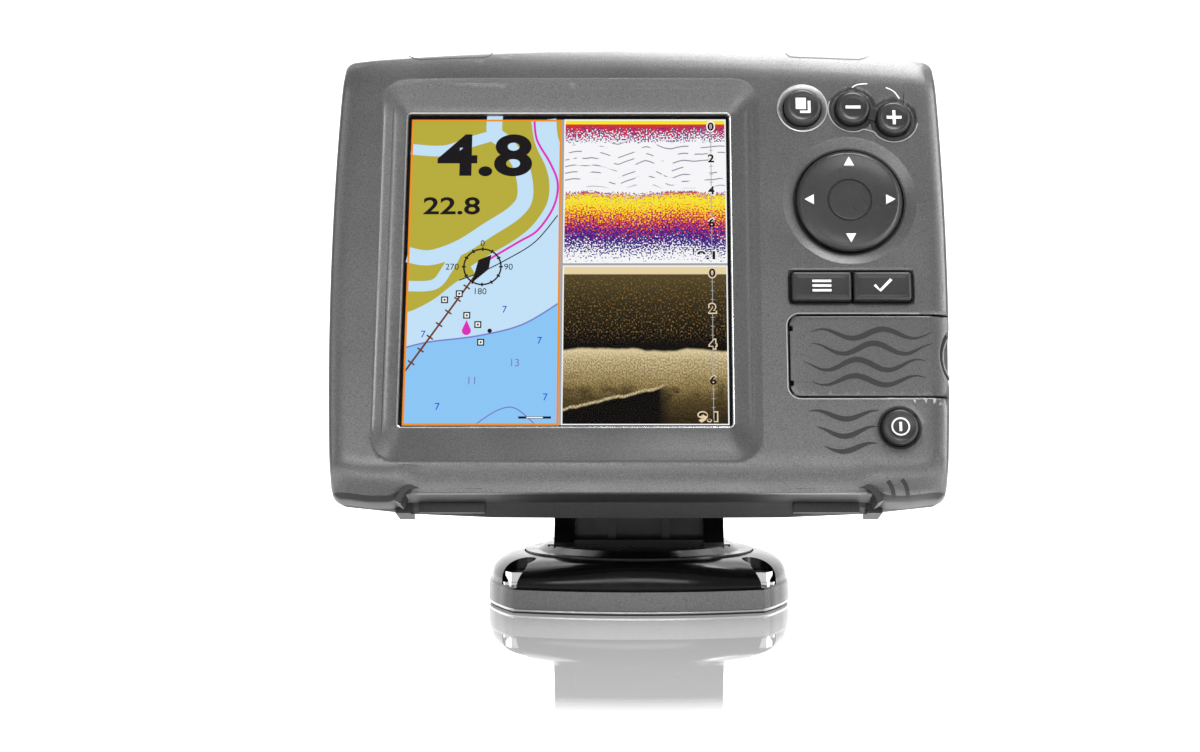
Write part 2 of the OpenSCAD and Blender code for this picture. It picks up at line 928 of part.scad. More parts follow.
module connector_shell() {
    color("#232325")
    in_head()
        difference() {
            union() {
                bar(connector_at, 7.9, 17.5, back_depth + 10);
                bar(connector_at, 11, back_depth + 0.5, back_depth + 2.5);
            }
            bar(connector_at, 6.3, back_depth - 1, back_depth + 11);
            bar(connector_at, 5, 16, back_depth);
            block([connector_at[0] - 1.2, connector_at[0] + 1.2], [back_depth + 4, back_depth + 11],
                [connector_at[1] + 5, connector_at[1] + 9]);
        }
}

module connector_insert() {
    color("#2c4c86")
    in_head()
        difference() {
            bar(connector_at, 4.95, 20, back_depth + 2);
            for (p = pin_places())
                bar(p, 0.55, 19, back_depth + 3);
        }
}

// One centre pin with a ring of six around it
function pin_places() = concat(
    [connector_at],
    [for (a = [0 : 60 : 300]) [connector_at[0] + 3 * cos(a), connector_at[1] + 3 * sin(a)]]
);

module connector_pins() {
    color("#d9b45a")
    in_head()
        for (p = pin_places())
            bar(p, 0.5, board_back, back_depth + 5.5);
}

module connector_nut() {
    color("#2a2a2c")
    in_head()
        difference() {
            translate([connector_at[0], back_depth - wall - 3.4, connector_at[1]])
                rotate([-90, 0, 0])
                    cylinder(h = 3.2, r = 11, $fn = 6);
            bar(connector_at, 7.95, 15, back_depth);
        }
}

module connector_seal() {
    color("#101010")
    in_head()
        difference() {
            bar(connector_at, 10, back_depth, back_depth + 0.5);
            bar(connector_at, 7.95, back_depth - 1, back_depth + 1);
        }
}

module vent_plug() {
    color("#1a1a1b")
    in_head() {
        bar(vent_at, 2.95, 23, back_depth + 0.5);
        bar(vent_at, 4.5, back_depth, back_depth + 1.2);
    }
}

// ---------------------------------------------------------------- head: keys

// Round key: cap, retaining flange and plunger
module round_key(at, r) {
    in_head() {
        bar(at, r, key_top, wall_back + 0.2);
        bar(at, r + 1, wall_back + 0.1, wall_back + 0.8);
        bar(at, 2, wall_back + 0.7, -1);
    }
}

// Soft key: rectangular cap with flanges above and below
module soft_key(side) {
    in_head() {
        slab(key_top + 0.2, wall_back + 0.2)
            polygon(round_rect(side[0], side[1], soft_v[0], soft_v[1], 0.8));
        block(side, [wall_back + 0.1, wall_back + 0.8], [soft_v[0] - 0.7, soft_v[1] + 1.2]);
        bar([(side[0] + side[1]) / 2, (soft_v[0] + soft_v[1]) / 2], 2, wall_back + 0.7, -1);
    }
}

module pages_key() {
    color("#5c5d5f")
        round_key(pages_at, pages_r);
}

module zoom_out_key() {
    color("#5c5d5f")
        round_key(zoom_out_at, zoom_r);
}

module zoom_in_key() {
    color("#5c5d5f")
        round_key(zoom_in_at, zoom_r);
}

module power_key() {
    color("#5c5d5f")
        round_key(power_at, power_r);
}

module menu_key() {
    color("#5c5d5f")
        soft_key(menu_u);
}

module enter_key() {
    color("#5c5d5f")
        soft_key(enter_u);
}

// Rocker between the keypad and the pad, so that the pad tips both ways
module pad_pivot() {
    color("#8d8e90")
    in_head()
        bar(pad_at, 4.5, -1.2, -0.5);
}

// Round pad with a dished face and a groove around its centre
module direction_pad() {
    color("#505153")
    in_head()
        difference() {
            union() {
                bar(pad_at, pad_r, pad_top, -4.4);
                bar(pad_at, 13.4, -4.5, -1.7);
                bar(pad_at, 16.2, -2.3, -1.6);
            }
            translate([pad_at[0], 0, pad_at[1]])
                rotate([-90, 0, 0])
                    translate([0, 0, pad_top - 0.1])
                        cylinder(h = 0.9, r1 = 13.4, r2 = 9);
            difference() {
                bar(pad_at, 6.2, -7, -6.1);
                bar(pad_at, 5.6, -8, -5);
            }
        }
}

mounting_base();
base_pad();
mounting_screws();
swivel_ring();
pedestal();
swivel_bolt();
swivel_washer();
swivel_nut();
tilt_bolt();
tilt_nut();
friction_washers();
cradle();
lever_pin();
release_spring();
release_lever();
front_bezel();
rear_case();
case_gasket();
case_screws();
display_window();
window_seal();
lcd_panel();
backlight();
lcd_ribbon();
main_board();
board_screws();
shield_can();
gps_antenna();
beeper();
clock_cell();
keypad_board();
keypad_membrane();
keypad_ribbon();
card_bay();
card_socket();
door_seal();
door_pin();
connector_shell();
connector_insert();
connector_pins();
connector_nut();
connector_seal();
vent_plug();
pages_key();
zoom_out_key();
zoom_in_key();
pad_pivot();
direction_pad();
menu_key();
enter_key();
power_key();
card_door();
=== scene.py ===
"""Looks of the fish finder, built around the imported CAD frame.

Most shapes are drawn in the head's own axes, in millimetres: u to the right, w into the head from
the face of the display, and v up the display from its centre.
"""
import json
import math

import bmesh
import bpy
import numpy as np
from mathutils import Matrix, Vector
from mathutils.geometry import delaunay_2d_cdt


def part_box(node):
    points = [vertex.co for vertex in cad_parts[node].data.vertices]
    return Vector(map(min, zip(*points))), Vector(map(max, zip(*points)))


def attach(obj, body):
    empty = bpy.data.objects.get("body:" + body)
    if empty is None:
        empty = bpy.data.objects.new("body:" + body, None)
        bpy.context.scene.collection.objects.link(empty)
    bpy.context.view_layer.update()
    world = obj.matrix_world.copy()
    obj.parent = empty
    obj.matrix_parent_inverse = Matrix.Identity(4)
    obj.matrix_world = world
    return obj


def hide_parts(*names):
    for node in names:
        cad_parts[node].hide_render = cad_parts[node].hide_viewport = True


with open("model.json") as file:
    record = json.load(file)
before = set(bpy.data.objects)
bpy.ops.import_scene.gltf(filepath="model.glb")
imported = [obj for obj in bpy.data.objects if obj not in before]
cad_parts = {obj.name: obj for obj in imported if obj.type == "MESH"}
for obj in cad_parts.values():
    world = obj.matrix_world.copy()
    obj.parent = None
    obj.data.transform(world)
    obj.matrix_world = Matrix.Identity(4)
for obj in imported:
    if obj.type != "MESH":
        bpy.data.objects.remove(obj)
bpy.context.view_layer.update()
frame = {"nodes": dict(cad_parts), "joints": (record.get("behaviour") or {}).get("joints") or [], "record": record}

# ---------------- sizes, in millimetres, and angles of sharp edges, in degrees
MM = 0.001
HEAD_HALF_W = 87.05
HEAD_TOP = 68.0
SIDE_BOW_V, SIDE_BOW = 8, 2066
TOP_DROP, TOP_DROP_U = 3.6, 82
CORNER_R = 4.3
BEZEL_FOOT = 63.9
FRONT = -6.0
SEAM = 8.0
WALL_BACK = -3.6
LIP_FRONT = -2.6
GLASS_BACK = -1.0
PICTURE = 89.8
PICTURE_U, PICTURE_V = -20.1, 1.05
WINDOW_EDGE = 0.8
PAGES_AT, PAGES_R = (46.3, 47.1), 5.2
ZOOM_OUT_AT, ZOOM_IN_AT, ZOOM_R = (60.5, 46.8), (72.0, 43.7), 4.8
POWER_AT, POWER_R = (70.6, -45.8), 5.0
PAD_AT, PAD_R, PAD_DISH_R = (58.9, 19.4), 14.8, 18.8
KEY_GAP = 0.3
SINK_R = 6.9
MENU_U, ENTER_U, SOFT_V = (42.1, 58.6), (59.1, 75.1), (-10.1, -1.9)
KEY_TOP, SOFT_TOP, PAD_TOP = FRONT - 1.7, FRONT - 1.5, FRONT - 1.2
KEY_DISH, SOFT_DISH = 0.3, 0.18
BEZEL_WALL, DOOR_WALL = 1.15, 1.5
DOOR_TOP, DOOR_BOTTOM, DOOR_LEFT = -14.1, -37.2, 41.1
DOOR_GAP, DOOR_PROUD = 0.3, 0.05
DOOR_LIP_BACK = 2.0
DOOR_CORNER_R = 3.0
HINGE_AT, HINGE_R = (43.0, FRONT + 1.9), 1.85
KNUCKLES = ((-36.9, -34.4), (-32.4, -18.9), (-16.9, -14.4))
HINGE_NOTCHES = ((-34.2, -32.6), (-18.7, -17.1))
NOTCH_AT, NOTCH_R = (94.4, -25.65), 11.9
BASE_HALF_W, BASE_HALF_D = 45.0, 39.98
BASE_TOP, RIM_Z, DISC_R = 12.9, 14.8, 34.0
SWIVEL_BORE_R, NUT_POCKET_R, NUT_POCKET_TOP = 4.1, 11, 6.5
SCREW_BORE_R, SCREW_WELL_R = 3.5, 4.9
SCREW_X, SCREW_Y, SCREW_SEAT = 34.5, 23.5, 7.1
WELL_OUT_X, WELL_OUT_Y = 2.5, 5.0
FACET_Y, FACET_HALF_W, FACET_LOW, FACET_HIGH = -28, 37.5, 1.3, 6.9
DRAFT = 1.2
LOW_SHARE = 0.35
# Painted shade along the lower corners: from this distance to either side, up to this height above the foot.
SHADE_CORNER_FROM, SHADE_CORNER_RISE = 61.0, 2.1
EDGE_ANGLE, SKIN_ANGLE, BASE_ANGLE = 32, 28, 24
SCREEN_TO_PIVOT = 48.0
SCREEN_ABOVE_PIVOT = 5.0

WINDOW = (
    PICTURE_U - PICTURE / 2 - WINDOW_EDGE,
    PICTURE_U + PICTURE / 2 + WINDOW_EDGE,
    PICTURE_V - PICTURE / 2 - WINDOW_EDGE,
    PICTURE_V + PICTURE / 2 + WINDOW_EDGE,
)
WINDOW_R = 1.0
RECESS = (WINDOW[0] - 7.0, WINDOW[1] + 8.2, WINDOW[2] - 10.5, WINDOW[3] + 9.6)
RECESS_R = 7.5
# Wells around the keys, painted black as shade: place, radius and number of points.
SHADED_WELLS = (
    (PAGES_AT, PAGES_R + 0.55, 72),
    (POWER_AT, POWER_R + 1.0, 72),
    (PAD_AT, PAD_R + 1.1, 120),
    (ZOOM_OUT_AT, ZOOM_R + 0.8, 72),
    (ZOOM_IN_AT, ZOOM_R + 0.8, 72),
)

# ---------------- the head's axes
JOINTS = {j["name"]: j for j in frame["joints"]}
U = Vector((1, 0, 0))
V = Vector(JOINTS["quick_release"]["axis"])
W = Vector(JOINTS["pages_key_press"]["axis"])
PIVOT = Vector(JOINTS["tilt"]["pos_m"])
ORIGIN = PIVOT - W * SCREEN_TO_PIVOT * MM + V * SCREEN_ABOVE_PIVOT * MM
HEAD = Matrix((
    (U.x * MM, W.x * MM, V.x * MM, ORIGIN.x),
    (U.y * MM, W.y * MM, V.y * MM, ORIGIN.y),
    (U.z * MM, W.z * MM, V.z * MM, ORIGIN.z),
    (0, 0, 0, 1),
))
ROW = Matrix.Scale(MM, 4)

# ---------------- the mirror in the floor, in metres
MIRROR_AT, MIRROR_R, MIRROR_FADE = (0, -0.05, 0), 0.115, 0.035


# ---------------- camera, floor and light
def place(name, data):
    """Adds an object to the scene."""
    thing = bpy.data.objects.new(name, data)
    bpy.context.scene.collection.objects.link(thing)
    return thing


def make_camera():
    """Level camera, straight in front of the swivel axis, with the object right of centre."""
    data = bpy.data.cameras.new("camera")
    data.sensor_width = 36.0
    data.lens = 53.4
    data.shift_x = -0.0325
    data.clip_end = 20
    camera = place("camera", data)
    camera.location = (0, -0.536, 0.067)
    camera.rotation_euler = (math.radians(90), 0, 0)
    bpy.context.scene.camera = camera


def make_floor():
    """Pale floor in front of a pale sweep far behind the object."""
    half_w, front, start, radius, height = 4.0, -2.5, 1.4, 1.2, 4.0
    angles = [math.radians(d) for d in range(6, 91, 6)]
    rise = [(start + radius * math.sin(a), radius - radius * math.cos(a)) for a in angles]
    sweep = [(start, 0.0), *rise, (start + radius, height)]
    for name, side, key in (("floor", [(front, 0.0), (start, 0.0)], "floor"), ("backdrop", sweep, "wall")):
        verts = [(x, y, z) for y, z in side for x in (-half_w, half_w)]
        faces = [(2 * i, 2 * i + 1, 2 * i + 3, 2 * i + 2) for i in range(len(side) - 1)]
        mesh = bpy.data.meshes.new(name)
        mesh.from_pydata(verts, [], faces)
        mesh.shade_smooth()
        mesh.materials.append(MAT[key])
        place(name, mesh)


def area_light(name, at, target, size, power):
    data = bpy.data.lights.new(name, "AREA")
    data.shape = "RECTANGLE"
    data.size, data.size_y = size
    data.energy = power
    light = place(name, data)
    light.location = at
    light.rotation_euler = (Vector(target) - Vector(at)).to_track_quat("-Z", "Y").to_euler()


def make_lights():
    middle = (0, 0, 0.09)
    area_light("top_softbox", (0.2, 0.07, 1.0), middle, (1.1, 0.45), 15.5)
    area_light("left_softbox", (-1.0, -0.5, 0.5), middle, (0.35, 0.9), 1.8)
    area_light("right_softbox", (1.0, -0.4, 0.45), middle, (0.3, 0.9), 7.0)
    area_light("front_fill", (-0.2, -1.5, 0.5), middle, (1.5, 0.3), 7.6)
    area_light("floor_wash", (0.0, 1.0, 1.6), (0, 0.9, 0), (3.0, 1.2), 16.0)
    world = bpy.data.worlds.new("studio")
    world.use_nodes = True
    background = world.node_tree.nodes["Background"]
    background.inputs["Color"].default_value = grey(1.0)
    background.inputs["Strength"].default_value = 0.34
    bpy.context.scene.world = world
    bpy.context.scene.view_settings.view_transform = "Standard"


# ---------------- materials
def grey(value):
    return (value, value, value, 1)


class Surface:
    """A Principled material whose colour, roughness and bump come from noise."""

    def __init__(self, name, colour, roughness, **sockets):
        self.material = bpy.data.materials.new(name)
        self.material.use_nodes = True
        self.tree = self.material.node_tree
        self.shader = self.tree.nodes["Principled BSDF"]
        self.fill(self.shader, Base_Color=colour, Roughness=roughness, **sockets)
        self.coords = self.tree.nodes.new("ShaderNodeTexCoord").outputs["Object"]

    def fill(self, node, **sockets):
        """Gives each named socket a value, or a link from another node's output."""
        for label, value in sockets.items():
            socket = node.inputs[label.replace("_", " ")]
            if isinstance(value, bpy.types.NodeSocket):
                self.tree.links.new(value, socket)
            else:
                socket.default_value = value

    def add(self, kind, **sockets):
        node = self.tree.nodes.new("ShaderNode" + kind)
        self.fill(node, **sockets)
        return node

    def noise(self, size_mm, detail=3.0, stretch=(1, 1, 1)):
        """Noise whose blotches are about size_mm across."""
        mapping = self.add("Mapping", Scale=stretch, Vector=self.coords)
        return self.noise_at(mapping, 1.0 / (size_mm * MM), detail)

    def noise_at(self, mapping, scale, detail):
        node = self.add("TexNoise", Scale=scale, Detail=detail, Vector=mapping.outputs["Vector"])
        return node.outputs["Fac"]

    def ramp(self, factor, stops):
        node = self.add("ValToRGB", Fac=factor)
        marks = node.color_ramp.elements
        marks.remove(marks[1])
        for i, (position, colour) in enumerate(stops):
            element = marks[0] if i == 0 else marks.new(position)
            element.position = position
            element.color = colour
        return node.outputs["Color"]

    def span(self, value, low, high, start, end):
        """Turns low..high into start..end."""
        ends = {"From_Min": low, "From_Max": high, "To_Min": start, "To_Max": end}
        return self.add("MapRange", Value=value, **ends).outputs["Result"]

    def grain(self, factor, stops):
        self.fill(self.shader, Base_Color=self.ramp(factor, stops))

    def roughness(self, factor, low, high):
        self.fill(self.shader, Roughness=self.span(factor, 0.3, 0.7, low, high))

    def bump(self, factor, height_mm):
        node = self.add("Bump", Distance=height_mm * MM, Strength=1.0, Height=factor)
        self.fill(self.shader, Normal=node.outputs["Normal"])


def speckled(name, dark, light, roughness, metallic, grain_mm, bump_mm):
    """Paint or moulded plastic with a fine light and dark grain."""
    surface = Surface(name, grey(dark), roughness, Metallic=metallic)
    fine = surface.noise(grain_mm, 2.0)
    surface.grain(fine, [(0.32, grey(dark)), (0.68, grey(light))])
    surface.bump(fine, bump_mm)
    surface.roughness(surface.noise(18), roughness - 0.04, roughness + 0.05)
    return surface.material


def gloss(name, value, roughness):
    """Glossy dark plastic, slightly wavy."""
    coat = {"Coat_Weight": 0.12, "Coat_Roughness": 0.06, "Specular_IOR_Level": 0.22}
    surface = Surface(name, grey(value), roughness, **coat)
    surface.roughness(surface.noise(9), roughness * 0.7, roughness * 1.4)
    surface.bump(surface.noise(6), 0.004)
    return surface.material


def metal(name, value, roughness, tint=(1, 1, 1)):
    surface = Surface(name, (*(value * part for part in tint), 1), roughness, Metallic=1.0)
    surface.roughness(surface.noise(2.5, stretch=(1, 1, 4)), roughness * 0.85, roughness * 1.2)
    surface.bump(surface.noise(0.5), 0.0006)
    return surface.material


def plain(name, colour, roughness, grain_mm=1.2, spread=0.12, **sockets):
    """Plain material whose colour varies a little."""
    surface = Surface(name, colour, roughness, **sockets)
    low, high = ((*(min(1, c * share) for c in colour[:3]), 1) for share in (1 - spread, 1 + spread))
    surface.grain(surface.noise(grain_mm), [(0.35, low), (0.65, high)])
    surface.bump(surface.noise(grain_mm * 0.5), 0.006)
    return surface.material


def lit(name, colour):
    """Flat colour of the display, which shines by itself."""
    shine = {"Specular_IOR_Level": 0.0, "Emission_Color": (*colour, 1), "Emission_Strength": 1.0}
    return Surface(name, grey(0.0), 0.5, **shine).material


def glass(name):
    surface = Surface(name, grey(1.0), 0.02, Transmission_Weight=1.0, IOR=1.2)
    surface.roughness(surface.noise(20), 0.0, 0.03)
    return surface.material


def pale_floor():
    """White sheet that mirrors the foot of the object and turns matt further out."""
    surface = Surface("pale_floor", grey(0.90), 0.03, Emission_Color=grey(1.0))
    away = surface.tree.nodes.new("ShaderNodeVectorMath")
    away.operation = "DISTANCE"
    away.inputs[1].default_value = MIRROR_AT
    surface.tree.links.new(surface.coords, away.inputs[0])
    for socket, near, far in (("Metallic", 0.72, 0.0), ("Emission_Strength", 0.2, 0.42)):
        fade = surface.span(away.outputs["Value"], MIRROR_R, MIRROR_R + MIRROR_FADE, near, far)
        surface.fill(surface.shader, **{socket: fade})
    return surface.material


def pale_wall():
    surface = Surface("pale_wall", grey(0.8), 0.6, Emission_Color=grey(1.0), Emission_Strength=0.9)
    surface.roughness(surface.noise(400), 0.55, 0.65)
    return surface.material


MAT = {
    "bezel": speckled("bezel_paint", 0.085, 0.150, 0.34, 0.6, 0.32, 0.005),
    "door": speckled("door_paint", 0.080, 0.142, 0.34, 0.6, 0.32, 0.005),
    "case": speckled("case_texture", 0.010, 0.019, 0.5, 0.0, 0.6, 0.015),
    # Black used as painted shade on the bezel, door, keys, pad, lips and door notch.
    "dark": speckled("painted_shade_black", 0.010, 0.018, 0.45, 0.0, 0.4, 0.004),
    "key": speckled("key_rubber", 0.013, 0.022, 0.34, 0.0, 0.3, 0.003),
    "pad": speckled("pad_rubber", 0.022, 0.036, 0.28, 0.0, 0.3, 0.002),
    "satin": speckled("satin_black", 0.012, 0.022, 0.4, 0.0, 0.4, 0.008),
    "facet": speckled("base_facet", 0.10, 0.17, 0.5, 0.0, 0.35, 0.01),
    "gloss": gloss("gloss_black", 0.003, 0.20),
    "rubber": speckled("black_rubber", 0.010, 0.018, 0.75, 0.0, 0.5, 0.01),
    "chrome": metal("bright_chrome", 0.82, 0.09),
    "steel": metal("plain_steel", 0.52, 0.3),
    # Metal laid along edges as painted highlights: polished strips (edge) and a lighter satin ring (ring).
    "edge": metal("painted_highlight_edge", 0.62, 0.22),
    "ring": metal("painted_highlight_ring", 0.55, 0.36),
    "gold": metal("gold_pins", 0.85, 0.2, (1.0, 0.78, 0.38)),
    "white": plain("white_plastic", grey(0.72), 0.5),
    "silicone": plain("clear_silicone", grey(0.62), 0.55, Subsurface_Weight=0.1),
    "board": plain("board_green", (0.012, 0.10, 0.035, 1), 0.35, 0.9, 0.35),
    "ribbon": plain("ribbon_amber", (0.50, 0.24, 0.04, 1), 0.3),
    "ceramic": plain("antenna_ceramic", (0.52, 0.42, 0.28, 1), 0.6),
    "insert": plain("insert_blue", (0.03, 0.09, 0.28, 1), 0.4),
    "print": plain("white_print", grey(0.80), 0.45, 0.5, 0.05),
    "ink": plain("dark_print", grey(0.011), 0.5, 0.5, 0.2),
    "glass": glass("window_glass"),
    "floor": pale_floor(),
    "wall": pale_wall(),
}


# ---------------- mesh helpers
def build(name, verts, faces, body, slot, material, axes=HEAD, replaces=(), sharp=EDGE_ANGLE, backs=None):
    """Makes a piece that rides on a body. `backs` is a second material and a test of face centres."""
    mesh = bpy.data.meshes.new(name)
    mesh.from_pydata([axes @ Vector(p) for p in verts], [], faces)
    bm = bmesh.new()
    bm.from_mesh(mesh)
    bmesh.ops.remove_doubles(bm, verts=bm.verts, dist=0.002 * MM)
    bmesh.ops.recalc_face_normals(bm, faces=bm.faces)
    middle = sum((v.co for v in bm.verts), Vector()) / len(bm.verts)
    if sum(f.normal.dot(f.calc_center_median() - middle) * f.calc_area() for f in bm.faces) < 0:
        bmesh.ops.reverse_faces(bm, faces=bm.faces)
    if backs:
        to_local = axes.inverted()
        for face in bm.faces:
            face.material_index = int(backs[1](to_local @ face.calc_center_median()))
    bm.to_mesh(mesh)
    bm.free()
    mesh.shade_smooth()
    mesh.set_sharp_from_angle(angle=math.radians(sharp))
    mesh.materials.append(MAT[material])
    if backs:
        mesh.materials.append(MAT[backs[0]])
    piece = place(name, mesh)
    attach(piece, body)
    if replaces:
        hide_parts(*replaces)
    return piece


def modify(piece, kind, **settings):
    """Adds a modifier."""
    modifier = piece.modifiers.new(kind.lower(), kind)
    for label, value in settings.items():
        setattr(modifier, label, value)


def apply(piece, kind, **settings):
    """Adds a modifier and bakes it into the piece's mesh."""
    modify(piece, kind, **settings)
    old, piece.data = piece.data, frozen(piece)
    piece.modifiers.clear()
    bpy.data.meshes.remove(old)


def frozen(piece):
    """The mesh of an object as it looks with its modifiers, or of a curve."""
    depsgraph = bpy.context.evaluated_depsgraph_get()
    return bpy.data.meshes.new_from_object(piece.evaluated_get(depsgraph))


def join(*shells):
    """One list of vertices and faces from several."""
    verts, faces = [], []
    for shell_verts, shell_faces in shells:
        start = len(verts)
        verts += list(shell_verts)
        faces += [tuple(start + i for i in face) for face in shell_faces]
    return verts, faces


def loft(rings, first=False, last=False):
    """Quads between closed rings of the same length, with the ends closed on request."""
    n = len(rings[0])
    verts = [p for ring in rings for p in ring]
    faces = [
        (k * n + i, k * n + (i + 1) % n, (k + 1) * n + (i + 1) % n, (k + 1) * n + i)
        for k in range(len(rings) - 1) for i in range(n)
    ]
    if first:
        faces.append(tuple(range(n - 1, -1, -1)))
    if last:
        faces.append(tuple((len(rings) - 1) * n + i for i in range(n)))
    return verts, faces


def raised(points, w):
    """A front-view outline set at depth w."""
    return [(u, w, v) for u, v in points]


def plate(points, w0, w1):
    """Flat plate from depth w0 to depth w1."""
    return loft([raised(points, w0), raised(points, w1)], True, True)


def arc(centre, radius, start, end, steps):
    """Points of an arc, both ends included, with its angles in degrees."""
    angles = [math.radians(start + (end - start) * i / steps) for i in range(steps + 1)]
    return [(centre[0] + radius * math.cos(a), centre[1] + radius * math.sin(a)) for a in angles]


def circle(centre, radius, steps=72):
    return arc(centre, radius, 0, 360, steps)[:-1]


def round_rect(rect, r, grow=0.0, steps=8):
    """Rectangle (u0, u1, v0, v1) with round corners, grown on every side."""
    u0, u1, v0, v1 = rect[0] - grow, rect[1] + grow, rect[2] - grow, rect[3] + grow
    r = max(r + grow, 0.05)
    return (
        arc((u1 - r, v1 - r), r, 0, 90, steps) + arc((u0 + r, v1 - r), r, 90, 180, steps)
        + arc((u0 + r, v0 + r), r, 180, 270, steps) + arc((u1 - r, v0 + r), r, 270, 360, steps)
    )


def lathe(profile, centre, steps=96):
    """Turns a list of (radius, depth) about the depth axis through centre."""
    rings = [raised(circle(centre, max(r, 0.01), steps), w) for r, w in profile]
    return loft(rings, True, True)


def curve_through(points, steps=8, closed=False):
    """Smooth curve through a few points (Catmull-Rom)."""
    p = [np.array(q, float) for q in points]
    n = len(p)
    spans = range(n) if closed else range(n - 1)
    made = []
    for i in spans:
        if closed:
            a, b, c, d = (p[(i + k) % n] for k in (-1, 0, 1, 2))
        else:
            a, b, c, d = p[max(i - 1, 0)], p[i], p[i + 1], p[min(i + 2, n - 1)]
        for s in range(steps):
            t = s / steps
            bend, twist = 2 * a - 5 * b + 4 * c - d, 3 * b - a - 3 * c + d
            made.append(tuple(0.5 * (2 * b + (c - a) * t + bend * t**2 + twist * t**3)))
    if not closed:
        made.append(tuple(p[-1]))
    return made


def ribbon(points, widths):
    """Outline of a flat line that follows points, with one width or one for each point."""
    p = np.array(points, float)
    step = np.gradient(p, axis=0)
    step /= np.linalg.norm(step, axis=1)[:, None] + 1e-9
    side = np.stack([-step[:, 1], step[:, 0]], axis=1) * (np.broadcast_to(widths, len(p))[:, None] / 2)
    return [tuple(q) for q in p + side] + [tuple(q) for q in (p - side)[::-1]]


def strip(points, widths):
    """Outline and faces of a flat line that follows points."""
    n = len(points)
    faces = [(i, i + 1, 2 * n - 2 - i, 2 * n - 1 - i) for i in range(n - 1)]
    return ribbon(points, widths), faces


def tube(rings):
    """Loft whose last ring meets the first again."""
    return loft([*rings, rings[0]])


def turned(x, y, degrees, centre):
    """Point (x, y), measured from a centre, turned about it."""
    a = math.radians(degrees)
    return (centre[0] + x * math.cos(a) - y * math.sin(a), centre[1] + x * math.sin(a) + y * math.cos(a))


def inside(points, loop):
    """True for each point that lies inside a closed loop."""
    x, y = points[:, 0], points[:, 1]
    found = np.zeros(len(points), bool)
    loop = np.asarray(loop)
    for (x0, y0), (x1, y1) in zip(loop, np.roll(loop, -1, axis=0)):
        if y0 == y1:
            continue
        crosses = (y0 > y) != (y1 > y)
        found ^= crosses & (x < (x1 - x0) * (y - y0) / (y1 - y0) + x0)
    return found


def sheet(outline, holes, creases, grids, depth):
    """Triangles that fill an outline around its holes, with each point set at its own depth."""
    loops = [outline, *holes, *creases]
    points = [p for loop in loops for p in loop]
    edges, start = [], 0
    for loop in loops:
        edges += [(start + i, start + (i + 1) % len(loop)) for i in range(len(loop))]
        start += len(loop)
    for u0, u1, v0, v1, spacing in grids:
        us, vs = np.meshgrid(np.arange(u0, u1, spacing), np.arange(v0, v1, spacing))
        us[1::2] += spacing / 2
        grid = np.stack([us.ravel(), vs.ravel()], axis=1)
        keep = inside(grid, outline)
        for hole in holes:
            keep &= ~inside(grid, hole)
        points += [tuple(p) for p in grid[keep]]
    made = delaunay_2d_cdt([Vector(p) for p in points], edges, [], 0, 1e-4, False)
    flat = np.array([tuple(p) for p in made[0]])
    faces = np.array([tuple(f) for f in made[2]])
    middles = flat[faces].mean(axis=1)
    keep = inside(middles, outline)
    for hole in holes:
        keep &= ~inside(middles, hole)
    w = depth(flat[:, 0], flat[:, 1])
    verts = [(u, d, v) for (u, v), d in zip(flat, w)]
    return verts, [tuple(int(i) for i in f) for f in faces[keep]]


# ---------------- the head's surface
def ease(t):
    """Smooth step from 0 to 1."""
    t = np.clip(t, 0, 1)
    return t * t * (3 - 2 * t)


def head_half(v):
    """Half the width of the head, whose sides bow."""
    return HEAD_HALF_W - (v - SIDE_BOW_V) ** 2 / SIDE_BOW


def head_top(u):
    """Height of the top edge, which drops toward the corners."""
    return HEAD_TOP - TOP_DROP * (u / TOP_DROP_U) ** 2


def bezel_foot(u):
    """Lower edge: higher in the middle, where the dark band shows below it."""
    return -(BEZEL_FOOT + 1.8 * ease((np.abs(u) - 62) / 6) - 1.0 * ease((np.abs(u) - 72) / 10))


def rect_depth(u, v, rect, r):
    """Distance inside a rectangle with round corners, negative outside."""
    qu = np.abs(u - (rect[0] + rect[1]) / 2) - (rect[1] - rect[0]) / 2 + r
    qv = np.abs(v - (rect[2] + rect[3]) / 2) - (rect[3] - rect[2]) / 2 + r
    return r - np.hypot(np.maximum(qu, 0), np.maximum(qv, 0)) - np.minimum(np.maximum(qu, qv), 0)


def soft_keys(grow):
    """Rectangle around the two soft keys, grown on every side."""
    return (MENU_U[0] - grow, ENTER_U[1] + grow, SOFT_V[0] - grow, SOFT_V[1] + grow)


def edge_roll(distance, reach, drop):
    """Extra depth near an edge, at a distance inside it."""
    return drop * np.clip(1 - distance / reach, 0, 1) ** 2.4


def reach_to(u, v, centre):
    return np.hypot(u - centre[0], v - centre[1])


def sink(distance, width, depth):
    """Extra depth of a sink with a sloped wall, at a distance inside it."""
    return depth * np.clip(distance / width, 0, 1)


def skin_depth(u, v):
    """Depth of the bezel's front with no key sinks: nearly flat, rolling back at every edge."""
    corner = ease((np.abs(u) - 58) / 12)
    w = FRONT + edge_roll(head_half(v) - np.abs(u), 8.0, 2.6)
    w = w + edge_roll(head_top(u) - v, 13.0, 4.6)
    return w + edge_roll(v - bezel_foot(u), 12.0, 2.6 + 4.4 * corner)


